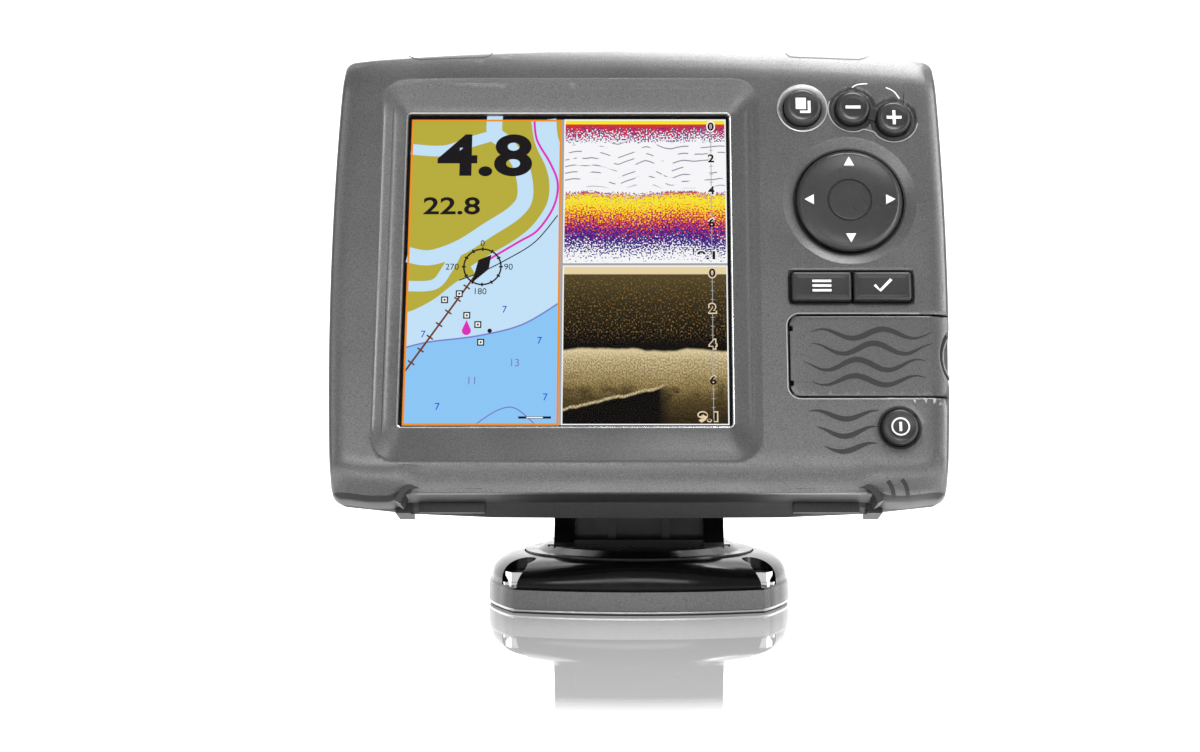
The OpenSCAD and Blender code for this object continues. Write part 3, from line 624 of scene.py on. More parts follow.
def bezel_depth(u, v):
    """Depth of the bezel's front: the skin with the recess and the key sinks."""
    w = skin_depth(u, v)
    d_out = rect_depth(u, v, RECESS, RECESS_R)
    d_in = np.maximum(-rect_depth(u, v, WINDOW, WINDOW_R), 0)
    s = np.clip(d_out / (d_out + d_in + 1e-6), 0, 1)
    recess = 1 - (1 - s) ** 1.15
    w = np.where(d_out > 0, w + (LIP_FRONT - w) * recess * ease(d_out / 0.8 + 0.4), w)
    w = w + sink(SINK_R - reach_to(u, v, PAGES_AT), 1.2, 0.75)
    a, b = np.array(ZOOM_OUT_AT), np.array(ZOOM_IN_AT)
    along = np.clip(((u - a[0]) * (b - a)[0] + (v - a[1]) * (b - a)[1]) / ((b - a) ** 2).sum(), 0, 1)
    bridge = 3.0 - np.hypot(u - a[0] - along * (b - a)[0], v - a[1] - along * (b - a)[1])
    zoom = np.maximum(SINK_R - np.minimum(reach_to(u, v, a), reach_to(u, v, b)), bridge)
    w = w + 0.9 * ease(zoom / 1.1)
    w = w + sink(PAD_DISH_R - reach_to(u, v, PAD_AT), PAD_DISH_R - PAD_R - 0.6, 1.1)
    w = w + 0.7 * ease(rect_depth(u, v, soft_keys(1.1), 1.8) / 0.7)
    return w + sink(POWER_R + 1.2 - reach_to(u, v, POWER_AT), 0.8, 0.35)


def head_outline(inset, door=None):
    """Front-view outline of the bezel; `door` adds the cut that the card door closes."""
    r = max(CORNER_R - inset, 0.8)
    top_v = HEAD_TOP - TOP_DROP - inset - r
    top_u = head_half(62) - inset - r
    low_u = head_half(-58) - inset - r
    low_v = bezel_foot(low_u) + LOW_SHARE * inset + r
    points = arc((top_u, top_v), r, 0, 90, 8)
    points += [(u, head_top(u) - inset) for u in range(76, -77, -4)]
    points += arc((-top_u, top_v), r, 90, 180, 8)
    points += [(inset - head_half(v), v) for v in range(56, -49, -4)]
    flank = [(head_half(max(v, -58)) - inset, v) for v in np.linspace(-52, low_v, 9)[:-1]]
    points += [(-u, v) for u, v in flank]
    points += arc((-low_u, low_v), r, 180, 270, 8)
    points += [(u, bezel_foot(u) + LOW_SHARE * inset) for u in np.arange(-78, 79, 1.5)]
    points += arc((low_u, low_v), r, 270, 360, 8)
    points += flank[::-1]
    low, high = DOOR_BOTTOM - DOOR_GAP, DOOR_TOP + DOOR_GAP
    points += [(head_half(v) - inset, v) for v in range(-48, int(low) - 1, 4)]
    points.append((head_half(low) - inset, low))
    if door is None:
        points += [(head_half(v) - inset, v) for v in range(-36, int(high), 4)]
    else:
        points += door
    points.append((head_half(high) - inset, high))
    return points + [(head_half(v) - inset, v) for v in range(-12, 57, 4)]


def door_cut(gap=DOOR_GAP):
    """The part of the bezel's outline that goes around the left of the card door."""
    r, left = DOOR_CORNER_R + gap, DOOR_LEFT - gap
    low, high = DOOR_BOTTOM - gap, DOOR_TOP + gap
    lower, upper = arc((left + r, low + r), r, 270, 180, 8), arc((left + r, high - r), r, 180, 90, 8)
    stops = range(82, 51, -6)
    return [*((u, low) for u in stops), *lower, *((left, v) for v in (-30, -26, -22)), *upper,
            *((u, high) for u in stops[::-1])]


def on_surface(points, depth):
    """Depth of a surface at each point of a front view."""
    return depth(*np.array(points).T)


def skirt(outline_at, depth, stops, last_w):
    """Rolls the edge of a sheet back: stops are (inset, extra depth), and it ends at last_w."""
    w0 = on_surface(outline_at(stops[0][0]), depth)
    rings = [[(u, w + back, v) for (u, v), w in zip(outline_at(inset), w0)] for inset, back in stops]
    rings.append(raised(outline_at(stops[-1][0]), last_w))
    return loft(rings)


def bore(points, w1, ease_mm=0.25):
    """Wall of a hole, from the bezel's surface back to depth w1."""
    w0 = on_surface(points, bezel_depth)
    rings = [[(u, w, v) for (u, v), w in zip(points, w0)]]
    rings.append([(u, min(w + ease_mm, w1), v) for (u, v), w in zip(points, w0)])
    rings.append(raised(points, w1))
    return loft(rings)


def is_painted_shade(p):
    """True where the bezel is painted black as shade: key wells, soft-key recess, gap walls, lower corners and the
    band below.
    """
    u, w, v = p
    # Painted shade: black in the key wells and soft-key recess, on the walls of the door's gap, along the lower
    # corners and on the band below the foot.
    if any(reach_to(u, v, at) < r for at, r, _ in SHADED_WELLS):
        return True
    u0, u1, v0, v1 = soft_keys(0.85)
    if u0 < u < u1 and v0 < v < v1:
        return True
    if DOOR_LEFT - 0.5 < u and DOOR_BOTTOM - 0.5 < v < DOOR_TOP + 0.5:
        return w > skin_depth(u, v) + 0.04
    if abs(u) > SHADE_CORNER_FROM:
        return v < bezel_foot(u) + SHADE_CORNER_RISE
    return v < -BEZEL_FOOT + 0.6 and w > -2.2


def corner_shade_border(side):
    """Border of the strip of painted shade along the foot of a lower corner."""
    us = np.linspace(SHADE_CORNER_FROM, 82.3, 15)
    upper = [(side * u, bezel_foot(u) + SHADE_CORNER_RISE) for u in us]
    return upper + [(side * u, bezel_foot(u) + 1.3) for u in us[::-1] - 0.3]


def make_bezel():
    cut = door_cut()
    edge_stops = [(2.3, 0.0), (1.9, 0.25), (1.5, 0.75), (1.25, 1.5), (DRAFT, 2.0)]
    outline = head_outline(edge_stops[0][0], cut)
    soft = soft_keys(KEY_GAP)
    bores = [
        circle(PAGES_AT, PAGES_R + KEY_GAP), circle(ZOOM_OUT_AT, ZOOM_R + KEY_GAP),
        circle(ZOOM_IN_AT, ZOOM_R + KEY_GAP), circle(POWER_AT, POWER_R + KEY_GAP),
        circle(PAD_AT, PAD_R + 0.6, 120), round_rect(soft, 1.0),
    ]
    window = round_rect(WINDOW, WINDOW_R)
    creases = [round_rect(RECESS, RECESS_R, grow, 14) for grow in (0.0, -0.5, -1.3, -3.0)]
    creases += [round_rect(WINDOW, WINDOW_R, grow) for grow in (0.6, 1.6)]
    creases += [circle(PAGES_AT, SINK_R), circle(PAD_AT, PAD_DISH_R, 120)]
    creases += [circle(at, r, steps) for at, r, steps in SHADED_WELLS]
    creases += [round_rect(soft, 1.0, grow) for grow in (0.6, 1.2)]
    creases += [head_outline(inset) for inset in (3.2, 4.4, 6.0, 8.0, 11.0)]
    creases += [corner_shade_border(side) for side in (-1, 1)]
    grids = [(-88, 88, -68, 72, 1.5), (38.5, 80, -13, 55, 0.5)]
    front = sheet(outline, [*bores, window], creases, grids, bezel_depth)
    lip_back = DOOR_LIP_BACK + DOOR_GAP
    rim = skirt(lambda inset: head_outline(inset, cut), bezel_depth, edge_stops, lip_back)
    band_stops = ((DRAFT, lip_back), (0.3, SEAM - 0.5), (0.6, SEAM))
    band = loft([raised(head_outline(inset), w) for inset, w in band_stops])
    walls = [bore(points, WALL_BACK) for points in bores]
    walls.append(bore(window, GLASS_BACK))
    # The faces that the backs test picks are painted black as shade.
    bezel = build("bezel_shell", *join(front, rim, band, *walls), "head", "bezel_paint", "bezel",
                  replaces=["front_bezel"], sharp=SKIN_ANGLE, backs=("dark", is_painted_shade))
    apply(bezel, "SOLIDIFY", thickness=BEZEL_WALL * MM, offset=-1.0, use_even_offset=False)


# ---------------- card door
def door_outline(inset):
    """Outline of the card door, with hinge notches at its left and a finger notch at its right."""
    def edge(v):
        return head_half(v) - DRAFT - DOOR_GAP - inset

    r = max(DOOR_CORNER_R - inset, 0.5)
    low, high, left = DOOR_BOTTOM + inset, DOOR_TOP - inset, DOOR_LEFT + inset
    points = [(edge(low), low)]
    points += [(u, low) for u in range(84, 47, -4)]
    points += arc((left + r, low + r), r, 270, 180, 8)
    for v0, v1 in HINGE_NOTCHES:
        points += [(left, v0), (left + 0.8, v0 + 0.1), (left + 0.8, v1 - 0.1), (left, v1)]
    points += arc((left + r, high - r), r, 180, 90, 8)
    points += [(u, high) for u in range(48, 85, 4)]
    points.append((edge(high), high))
    notch = [p for p in arc(NOTCH_AT, NOTCH_R + inset, 142, 218, 24) if p[0] < edge(p[1]) - 0.2]
    top, bottom = notch[0][1], notch[-1][1]
    return [*points, (edge(top), top + 0.5), *notch, (edge(bottom), bottom - 0.5)]


def door_depth(u, v):
    return skin_depth(u, v) - DOOR_PROUD


def door_lip():
    """Right edge of the door, which wraps around the head's side and is scooped for a finger."""
    section = [
        (-1.9, -4.3), (-1.5, -4.0), (-1.25, -3.4), (-DRAFT, -2.6), (-DRAFT, DOOR_LIP_BACK - 0.4),
        (-1.6, DOOR_LIP_BACK), (-2.6, DOOR_LIP_BACK), (-2.9, DOOR_LIP_BACK - 0.4), (-2.9, -3.2),
    ]
    middle = (DOOR_TOP + DOOR_BOTTOM) / 2
    rings = []
    for v in np.arange(DOOR_BOTTOM, DOOR_TOP + 0.1, 1.65):
        front = -3.2 + 2.4 * ease(3.0 - (v - middle) ** 2 / 17.7)
        rings.append([(head_half(v) + u, max(w, front), v) for u, w in section])
    return loft(rings, True, True)


def knuckle(v0, v1):
    """Barrel of the door's hinge, with rounded ends."""
    stops = ((HINGE_R - 0.3, v0), (HINGE_R, v0 + 0.3), (HINGE_R, v1 - 0.3), (HINGE_R - 0.3, v1))
    return loft([[(u, w, v) for u, w in circle(HINGE_AT, r, 32)] for r, v in stops], True, True)


def make_door():
    stops = [(0.55, 0.0), (0.3, 0.1), (0.15, 0.35)]
    front = sheet(door_outline(stops[0][0]), [], [], [(40, 90, -38, -13, 1.5)], door_depth)
    rim = skirt(door_outline, door_depth, stops, HINGE_AT[1])
    # The door's side faces, behind its front, are painted black as shade.
    panel = build("door_panel", *join(front, rim), "card_door", "door_paint", "door", replaces=["card_door"],
                  sharp=SKIN_ANGLE, backs=("dark", lambda p: p.y > door_depth(p.x, p.z) + 0.22))
    apply(panel, "SOLIDIFY", thickness=DOOR_WALL * MM, offset=-1.0, use_even_offset=False)
    knuckles = [knuckle(*span) for span in KNUCKLES]
    build("door_edge", *join(door_lip(), *knuckles), "card_door", "door_paint", "door")
    # Black ribbon in the finger notch: painted shade.
    notch_shade = ribbon(arc(NOTCH_AT, NOTCH_R - 0.4, 147, 213, 20), 0.9)
    build("door_notch_shade", *plate(notch_shade, FRONT + 2.6, FRONT + 3.6), "card_door", "door_paint", "dark")
    # Polished ribbon in the notch: painted highlight.
    shine = ribbon(arc(NOTCH_AT, NOTCH_R - 1.1, 149, 211, 20), 0.35)
    build("door_notch_highlight", *plate(shine, FRONT + 2.7, FRONT + 3.4), "card_door", "door_paint", "edge")


# ---------------- keys
def key_cap(r):
    """Side view of a round key: narrow foot, tapered side, thin raised rim and a dished top."""
    top = KEY_TOP
    return [
        (r - 0.3, WALL_BACK), (r, WALL_BACK - 0.4), (r, top + 1.2), (r - 0.18, top + 0.6),
        (r - 0.5, top + 0.15), (r - 0.85, top), (r - 1.1, top + 0.02), (r - 1.3, top + 0.16),
        (r - 2.2, top + 0.26), (0.0, top + KEY_DISH),
    ]


def stem(centre, r):
    """Retaining flange and plunger behind a key."""
    profile = [(r + 0.7, -3.4), (r + 1, -3.2), (r + 1, -2.8), (2, -2.8), (2, -1.2), (1.8, -1.0)]
    return lathe(profile, centre, 48)


def make_key(name, cap, centre, stem_r, shoulder, printed, icon):
    """A key on its stem, painted black as shade on its side behind the shoulder, with an icon between two depths.
    """
    # Faces behind the shoulder are painted black as shade.
    build(f"{name}_cap", *join(cap, stem(centre, stem_r)), name, "key_grey", "key", replaces=[name],
          backs=("dark", lambda p: p.y > shoulder))
    marks = [plate(outline, *printed) for outline in icon(*centre)]
    build(f"{name}_mark", *join(*marks), name, "white_plastic", "print")


def make_round_key(name, centre, r, icon):
    face = KEY_TOP + KEY_DISH
    cap = lathe(key_cap(r), centre)
    make_key(name, cap, centre, r, KEY_TOP + 0.35, (face - 0.16, face + 0.1), icon)


def make_soft_key(name, span, icon):
    rect, top = (*span, *SOFT_V), SOFT_TOP
    stops = [(0.0, -3.5), (0.0, top + 0.9), (-0.15, top + 0.45), (-0.4, top + 0.12), (-0.7, top),
             (-1.0, top + 0.02), (-1.3, top + 0.14), (-2.0, top + SOFT_DISH)]
    cap = loft([raised(round_rect(rect, 0.8, grow), w) for grow, w in stops], True, True)
    middle = (sum(span) / 2, sum(SOFT_V) / 2)
    make_key(name, cap, middle, 3.0, top + 0.8, (top + 0.02, top + 0.3), icon)


def bar_mark(u, v, half_w, half_h):
    corners = ((-half_w, -half_h), (half_w, -half_h), (half_w, half_h), (-half_w, half_h))
    return [(u + x, v + y) for x, y in corners]


def pages_icon(u, v):
    """A sheet with the corner of another behind it."""
    corner = [(1.4, 1.6), (2.2, 1.6), (2.2, -2.1), (-0.8, -2.1), (-0.8, -1.4), (1.4, -1.4)]
    return [bar_mark(u - 0.55, v + 0.8, 1.45, 1.7), [(u + x, v + y) for x, y in corner]]


def minus_icon(u, v):
    return [bar_mark(u, v, 2.1, 0.42)]


def plus_icon(u, v):
    arm, half = 2.1, 0.42
    quarter = ((-arm, -half), (-half, -half), (-half, -arm))
    return [[turned(x, y, 90 * k, (u, v)) for k in range(4) for x, y in quarter]]


def power_icon(u, v):
    return [ribbon(arc((u, v), 2.3, 0, 359.9, 48), 0.42), bar_mark(u, v, 0.36, 1.25)]


def bars_icon(u, v):
    return [bar_mark(u, v + dv, 2.6, 0.32) for dv in (-1.35, 0.0, 1.35)]


def tick_icon(u, v):
    return [ribbon([(u - 2.2, v + 0.2), (u - 0.7, v - 1.4), (u + 2.4, v + 1.8)], 0.75)]


def make_pad():
    top, r = PAD_TOP, PAD_R
    face = [
        (13.0, -2.4), (16.2, -2.3), (16.2, -1.7), (13.4, -1.6), (13.4, -4.4), (r - 0.1, -4.4), (r, -4.7),
        (r, top + 1.5), (r - 0.2, top + 1.1), (r - 1.2, top + 0.14), (r - 1.5, top), (r - 1.8, top + 0.05),
        (11.8, top + 0.4), (9.0, top + 0.75), (6.3, top + 0.9), (6.15, top + 1.25), (5.85, top + 1.25),
        (5.7, top + 0.86), (5.3, top + 0.80), (3.0, top + 0.95), (0.0, top + 1.0),
    ]
    # The pad's side, behind its top, is painted black as shade.
    build("direction_pad_cap", *lathe(face, PAD_AT, 144), "direction_pad", "pad_grey", "pad",
          replaces=["direction_pad"], sharp=40, backs=("dark", lambda p: p.y > top + 1.3))
    arrow = ((12.7, 0), (10.1, 1.4), (10.1, -1.4))
    arrows = [[turned(x, y, 90 * k, PAD_AT) for x, y in arrow] for k in range(4)]
    marks = join(*[plate(outline, top + 0.16, top + 0.75) for outline in arrows])
    build("direction_pad_marks", *marks, "direction_pad", "white_plastic", "print")


def make_key_surrounds():
    """Rubber bridge between the zoom keys, and painted highlights on the sinks: a lighter metal ring in the pages
    sink and a bright strip under the zoom sinks.
    """
    a, b = np.array(ZOOM_OUT_AT), np.array(ZOOM_IN_AT)
    way = (b - a) / np.linalg.norm(b - a) * 5.0
    stops = ((3.6, -4.6), (3.6, -6.2), (3.0, -6.5))
    bridge = loft([raised(ribbon([a + way, b - way], width), w) for width, w in stops], True, True)
    build("zoom_bridge", *bridge, "head", "key_grey", "key")
    slope = [(5.5, -5.1), (5.6, -5.42), (6.9, -6.2), (7.2, -6.15), (7.25, -5.6), (5.6, -4.9)]
    # Lighter metal ring on the pages sink's slope: painted highlight.
    ring = tube([raised(circle(PAGES_AT, r, 96), w) for r, w in slope])
    build("pages_ring_highlight", *ring, "head", "bezel_paint", "ring")
    # Bright strip along the lower edge of the zoom sinks only: painted highlight.
    under = arc(ZOOM_OUT_AT, SINK_R, 160, 296, 12) + arc(ZOOM_IN_AT, SINK_R, 214, 350, 12)
    mark("zoom_sink_highlight", [(under, 0.32)], "head", thick=0.1, material="ring")


def make_window_lip():
    """Thin bead around the window, in polished metal as its painted highlight."""
    section = [(0.05, 0.25), (0.10, -0.12), (0.32, -0.22), (0.6, -0.05), (0.6, 0.3)]
    lip = tube([raised(round_rect(WINDOW, WINDOW_R, grow), LIP_FRONT + w) for grow, w in section])
    build("window_lip_highlight", *lip, "head", "bezel_paint", "edge")


# ---------------- display
LAYERS = {
    "land": (0.48, 0.42, 0.045), "water": (0.55, 0.76, 0.94), "deep": (0.26, 0.57, 0.93),
    "contour": (0.20, 0.22, 0.62), "route": (0.72, 0.03, 0.50), "dark": (0.012, 0.010, 0.012),
    "brown": (0.16, 0.04, 0.01), "white": (0.93, 0.93, 0.93), "divider": (0.36, 0.38, 0.40),
    "orange": (0.88, 0.28, 0.02), "blue": (0.01, 0.05, 0.62), "beige": (0.80, 0.64, 0.42),
}
PANEL_DEPTH, LAYER_STEP = -0.02, 0.004
CHART_RIGHT = 0.478
PANELS_LEFT = 0.486
TOP_PANEL = (0.0, 0.481)
LOW_PANEL = (0.489, 1.0)


def on_screen(s, t):
    """Point of the picture: s to the right and t down, both from 0 to 1."""
    return (PICTURE_U - PICTURE / 2 + PICTURE * s, PICTURE_V + PICTURE / 2 - PICTURE * t)


def on_display(name, verts, faces, material):
    """Makes a flat piece of the display."""
    mesh = bpy.data.meshes.new(name)
    mesh.from_pydata([HEAD @ Vector(p) for p in verts], [], faces)
    mesh.materials.append(material)
    piece = place(name, mesh)
    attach(piece, "head")
    return mesh


class Picture:
    """Flat coloured layers stacked a hair apart in front of the display panel."""

    def __init__(self):
        self.shells = {}
        self.depth = PANEL_DEPTH

    def lay(self, colour, points, faces):
        """Adds a flat shape in front of those before it."""
        self.depth -= LAYER_STEP
        self.shells.setdefault(colour, []).append((raised(points, self.depth), faces))

    def fill(self, colour, points):
        flat, faces = sheet([on_screen(s, t) for s, t in points], [], [], [], lambda u, v: 0 * u)
        self.lay(colour, [(u, v) for u, _, v in flat], faces)

    def box(self, colour, s0, s1, t0, t1):
        self.fill(colour, [(s0, t0), (s1, t0), (s1, t1), (s0, t1)])

    def line(self, colour, points, width, smooth=True):
        """Line of a given width, as a share of the picture."""
        path = curve_through(points) if smooth else points
        outline, faces = strip([on_screen(s, t) for s, t in path], np.array(width) * PICTURE)
        last = on_screen(CHART_RIGHT, 0)[0]
        self.lay(colour, [(min(u, last), v) for u, v in outline], faces)

    def border(self, colour, s0, s1, t0, t1, width):
        self.box(colour, s0, s1, t0, t0 + width)
        self.box(colour, s0, s1, t1 - width, t1)
        self.box(colour, s0, s0 + width, t0, t1)
        self.box(colour, s1 - width, s1, t0, t1)

    def digits(self, colour, words, s0, t0, height, width=None, bold=0.0):
        """Generic digits with their top left corner at (s0, t0)."""
        curve = bpy.data.curves.new("digits", "FONT")
        curve.body = words
        curve.offset = bold
        holder = place("digits", curve)
        made = frozen(holder)
        raw = np.array([tuple(v.co)[:2] for v in made.vertices])
        faces = [tuple(p.vertices) for p in made.polygons]
        bpy.data.objects.remove(holder)
        bpy.data.curves.remove(curve)
        bpy.data.meshes.remove(made)
        low, high = raw.min(axis=0), raw.max(axis=0)
        scale_t = height / (high[1] - low[1])
        scale_s = width / (high[0] - low[0]) if width else scale_t
        left, top = raw[:, 0] - low[0], high[1] - raw[:, 1]
        self.lay(colour, [on_screen(s0 + x * scale_s, t0 + y * scale_t) for x, y in zip(left, top)], faces)

    def finish(self):
        for colour, shells in self.shells.items():
            on_display("picture_" + colour, *join(*shells), lit("lit_" + colour, LAYERS[colour]))


def draw_coast(picture):
    """Invented coast with deep water below it and a channel through the land."""
    right = CHART_RIGHT
    picture.box("land", 0, right, 0, 1)
    coast = [(0.468, 0.322), (0.398, 0.41), (0.31, 0.468), (0.236, 0.507), (0.163, 0.536), (0.09, 0.595)]
    shore = curve_through([(right, 0.31), *coast, (0.03, 0.63), (0, 0.64)])
    picture.fill("water", shore + [(0, 1), (right, 1)])
    deep = [(0, 0.754), (0.078, 0.735), (0.224, 0.716), (0.361, 0.68), (right, 0.608)]
    picture.fill("deep", curve_through(deep) + [(right, 1), (0, 1)])
    picture.line("contour", deep, 0.005)
    channel = [(0.42, 0.0), (0.43, 0.07), (0.462, 0.148), (0.474, 0.216), (0.463, 0.293), (0.414, 0.371),
               (0.35, 0.425), (0.258, 0.48), (0.21, 0.51)]
    inner = [(0.265, -0.02), (0.265, 0.045), (0.30, 0.08), (0.35, 0.157), (0.365, 0.254), (0.335, 0.31),
             (0.25, 0.37), (0.16, 0.43), (0.07, 0.462), (0, 0.452)]
    picture.line("water", channel, np.linspace(0.08, 0.045, 65))
    picture.line("water", inner, 0.05)
    picture.line("water", [(0.27, 0.05), (0.19, 0.075), (0.105, 0.105), (0.0, 0.10)], 0.036)
    picture.line("water", [(0.16, 0.43), (0.125, 0.50), (0.085, 0.55), (0, 0.555)], 0.034)
    picture.line("dark", coast[:-1], 0.0035)


def draw_route(picture):
    """Planned route along the channel, and the way just sailed with a tick at each interval."""
    route = [(0.39, 0), (0.40, 0.07), (0.443, 0.148), (0.467, 0.216), (0.455, 0.293), (0.406, 0.371),
             (0.347, 0.41), (0.255, 0.468), (0.218, 0.497)]
    picture.line("route", route, 0.007)
    picture.line("contour", [(0.22, 1.0), (0.29, 0.953), (0.345, 0.946), (0.41, 1.0)], 0.004)
    picture.line("brown", [(0.215, 0.517), (0.0, 0.835)], 0.006, smooth=False)
    for k in range(1, 8):
        s, t = 0.215 - 0.0275 * k, 0.517 + 0.0407 * k
        picture.line("brown", [(s - 0.010, t - 0.007), (s + 0.010, t + 0.007)], 0.005, smooth=False)


def draw_compass(picture):
    """Compass rose around the vessel."""
    middle, r, near, far = (0.235, 0.492), 0.058, 0.052, 0.064
    picture.line("dark", arc(middle, r, 0, 359.9, 40), 0.005, smooth=False)
    for degrees in range(0, 360, 30):
        picture.line("dark", [turned(x, 0, degrees, middle) for x in (near, far)], 0.005, smooth=False)
    bearings = (("0", 0.228, 0.405), ("90", 0.303, 0.482), ("180", 0.213, 0.562), ("270", 0.120, 0.482))
    for words, s, t in bearings:
        picture.digits("dark", words, s, t, 0.020)
    picture.fill("dark", [(0.203, 0.545), (0.222, 0.47), (0.262, 0.453), (0.255, 0.50)])


def draw_places(picture):
    """Waypoints, a marked place, soundings, the two large readings and a distance bar."""
    for s, t in ((0.12, 0.60), (0.165, 0.58), (0.19, 0.65), (0.225, 0.68), (0.235, 0.737)):
        for colour, half in (("dark", 0.011), ("white", 0.007), ("dark", 0.003)):
            picture.box(colour, s - half, s + half, t - half, t + half)
    picture.fill("route", arc((0.19, 0.70), 0.014, -30, 210, 20) + [(0.19, 0.665)])
    picture.fill("dark", circle((0.262, 0.70), 0.007, 20))
    picture.digits("dark", "4.8", 0.085, 0.05, 0.142, 0.30, 0.030)
    picture.digits("dark", "22.8", 0.045, 0.262, 0.058, 0.178, 0.018)
    for words, s, t in (("11", 0.20, 0.847), ("13", 0.33, 0.79)):
        picture.digits("contour", words, s, t, 0.024)
    for s, t in ((0.05, 0.70), (0.30, 0.62), (0.41, 0.72), (0.10, 0.93), (0.43, 0.90)):
        picture.digits("blue", "7", s, t, 0.022)
    picture.box("dark", 0.355, 0.455, 0.972, 0.979)
    picture.box("white", 0.38, 0.43, 0.9735, 0.9775)


def draw_scale(picture, halo, top, bottom):
    """Depth scale over the right of a panel: dark digits with a pale halo on a thin line."""
    labels = ("0", "2", "4", "6", "9.1")
    s, step = 0.952, (bottom - top - 0.050) / 4
    picture.box("divider", s - 0.0012, s + 0.0012, top + 0.02, bottom - 0.02)
    for k in range(1, 16):
        t = top + 0.024 + step * k / 4
        picture.box("divider", s - 0.006, s + 0.006, t - 0.001, t + 0.001)
    for k, words in enumerate(labels):
        t, width = top + 0.010 + step * k, (0.020 if len(words) == 1 else 0.056)
        start = s + 0.010 - width
        picture.digits(halo, words, start - 0.004, t - 0.004, 0.036, width + 0.008, 0.07)
        picture.digits("dark", words, start, t, 0.028, width, 0.03)


# The colour sockets of a Mix node, which share their labels with its other sockets.
MIX_A, MIX_B, MIX_RESULT = 6, 7, 2


class Echo(Surface):
    """Colours of a panel in which depth runs downward, built from stretched noise."""

    def __init__(self, name, seed):
        super().__init__(name, grey(0.0), 0.5, Specular_IOR_Level=0.0, Emission_Strength=1.0)
        self.seed = seed
        self.panel = self.add("UVMap").outputs["UV"]
        split = self.add("SeparateXYZ", Vector=self.panel)
        self.across, self.down = split.outputs["X"], split.outputs["Y"]

    def grains(self, scale_s, scale_t, detail=3.0, offset=0.0):
        at = (self.seed + offset, offset * 2, 0)
        mapping = self.add("Mapping", Scale=(scale_s, scale_t, 1), Location=at, Vector=self.panel)
        return self.noise_at(mapping, 1.0, detail)

    def math(self, operation, a, b=0.0):
        node = self.tree.nodes.new("ShaderNodeMath")
        node.operation = operation
        for socket, value in zip(node.inputs, (a, b)):
            if isinstance(value, float):
                socket.default_value = value
            else:
                self.tree.links.new(value, socket)
        return node.outputs["Value"]

    def times(self, a, b):
        return self.math("MULTIPLY", a, b)

    def plus(self, a, b):
        return self.math("ADD", a, b)

    def swing(self, noise, amount):
        """Noise as an offset to either side of zero."""
        return self.times(self.math("SUBTRACT", noise, 0.5), amount)

    def step(self, value, start, end):
        return self.add("MapRange", Value=value, From_Min=start, From_Max=end).outputs["Result"]

    def band(self, value, low, high, soft):
        """1 between low and high, with soft edges."""
        rise = self.step(value, low - soft, low + soft)
        return self.times(rise, self.step(value, high + soft, high - soft))

    def mix(self, factor, a, b):
        node = self.add("Mix", Factor=factor)
        node.data_type = "RGBA"
        for index, value in ((MIX_A, a), (MIX_B, b)):
            if isinstance(value, tuple):
                node.inputs[index].default_value = (*value, 1)
            else:
                self.tree.links.new(value, node.inputs[index])
        return node.outputs[MIX_RESULT]

    def bands(self, value, stops):
        return self.ramp(value, [(position, (*colour, 1)) for position, colour in stops])

    def show(self, colour):
        self.fill(self.shader, Emission_Color=colour)
        return self.material


def sonar_material():
    """White water with dark arches over a red and yellow bottom, purple and blue below it."""
    echo = Echo("echo_colour", 3.0)
    white, purple, navy = (0.93, 0.93, 0.95), (0.16, 0.02, 0.26), (0.022, 0.012, 0.22)
    red, yellow, orange = (0.70, 0.03, 0.03), (0.93, 0.80, 0.03), (0.85, 0.22, 0.02)
    depth = echo.plus(echo.down, echo.swing(echo.grains(3.2, 0.6, 2.0), 0.12))
    dither = echo.math("SUBTRACT", echo.grains(95, 90, 0.0, 4.0), 0.5)
    rough = echo.plus(echo.step(echo.down, 0.48, 0.66), echo.band(echo.down, 0.05, 0.16, 0.02))
    depth = echo.plus(depth, echo.times(echo.times(dither, rough), 0.42))
    colour = echo.bands(depth, [
        (0.0, red), (0.055, red), (0.085, purple), (0.12, navy), (0.135, white), (0.51, white),
        (0.515, purple), (0.525, red), (0.54, yellow), (0.61, yellow), (0.66, orange), (0.71, red),
        (0.77, purple), (0.83, navy), (0.895, navy), (0.91, white),
    ])
    colour = echo.mix(echo.step(echo.down, 0.034, 0.028), colour, yellow)
    water = echo.band(echo.down, 0.15, 0.47, 0.02)
    bow = echo.times(echo.math("PINGPONG", echo.times(echo.across, 6.0), 1.0), 0.035)
    bent = echo.plus(echo.plus(echo.down, bow), echo.times(echo.grains(5, 1, 1.0, 30.0), 0.12))
    rows = echo.math("FRACT", echo.times(bent, 21.0))
    broken = echo.step(echo.grains(9, 22, 1.0, 21.0), 0.50, 0.52)
    arches = echo.times(echo.band(rows, 0.42, 0.54, 0.06), broken)
    return echo.show(echo.mix(echo.times(arches, water), colour, (0.03, 0.02, 0.12)))


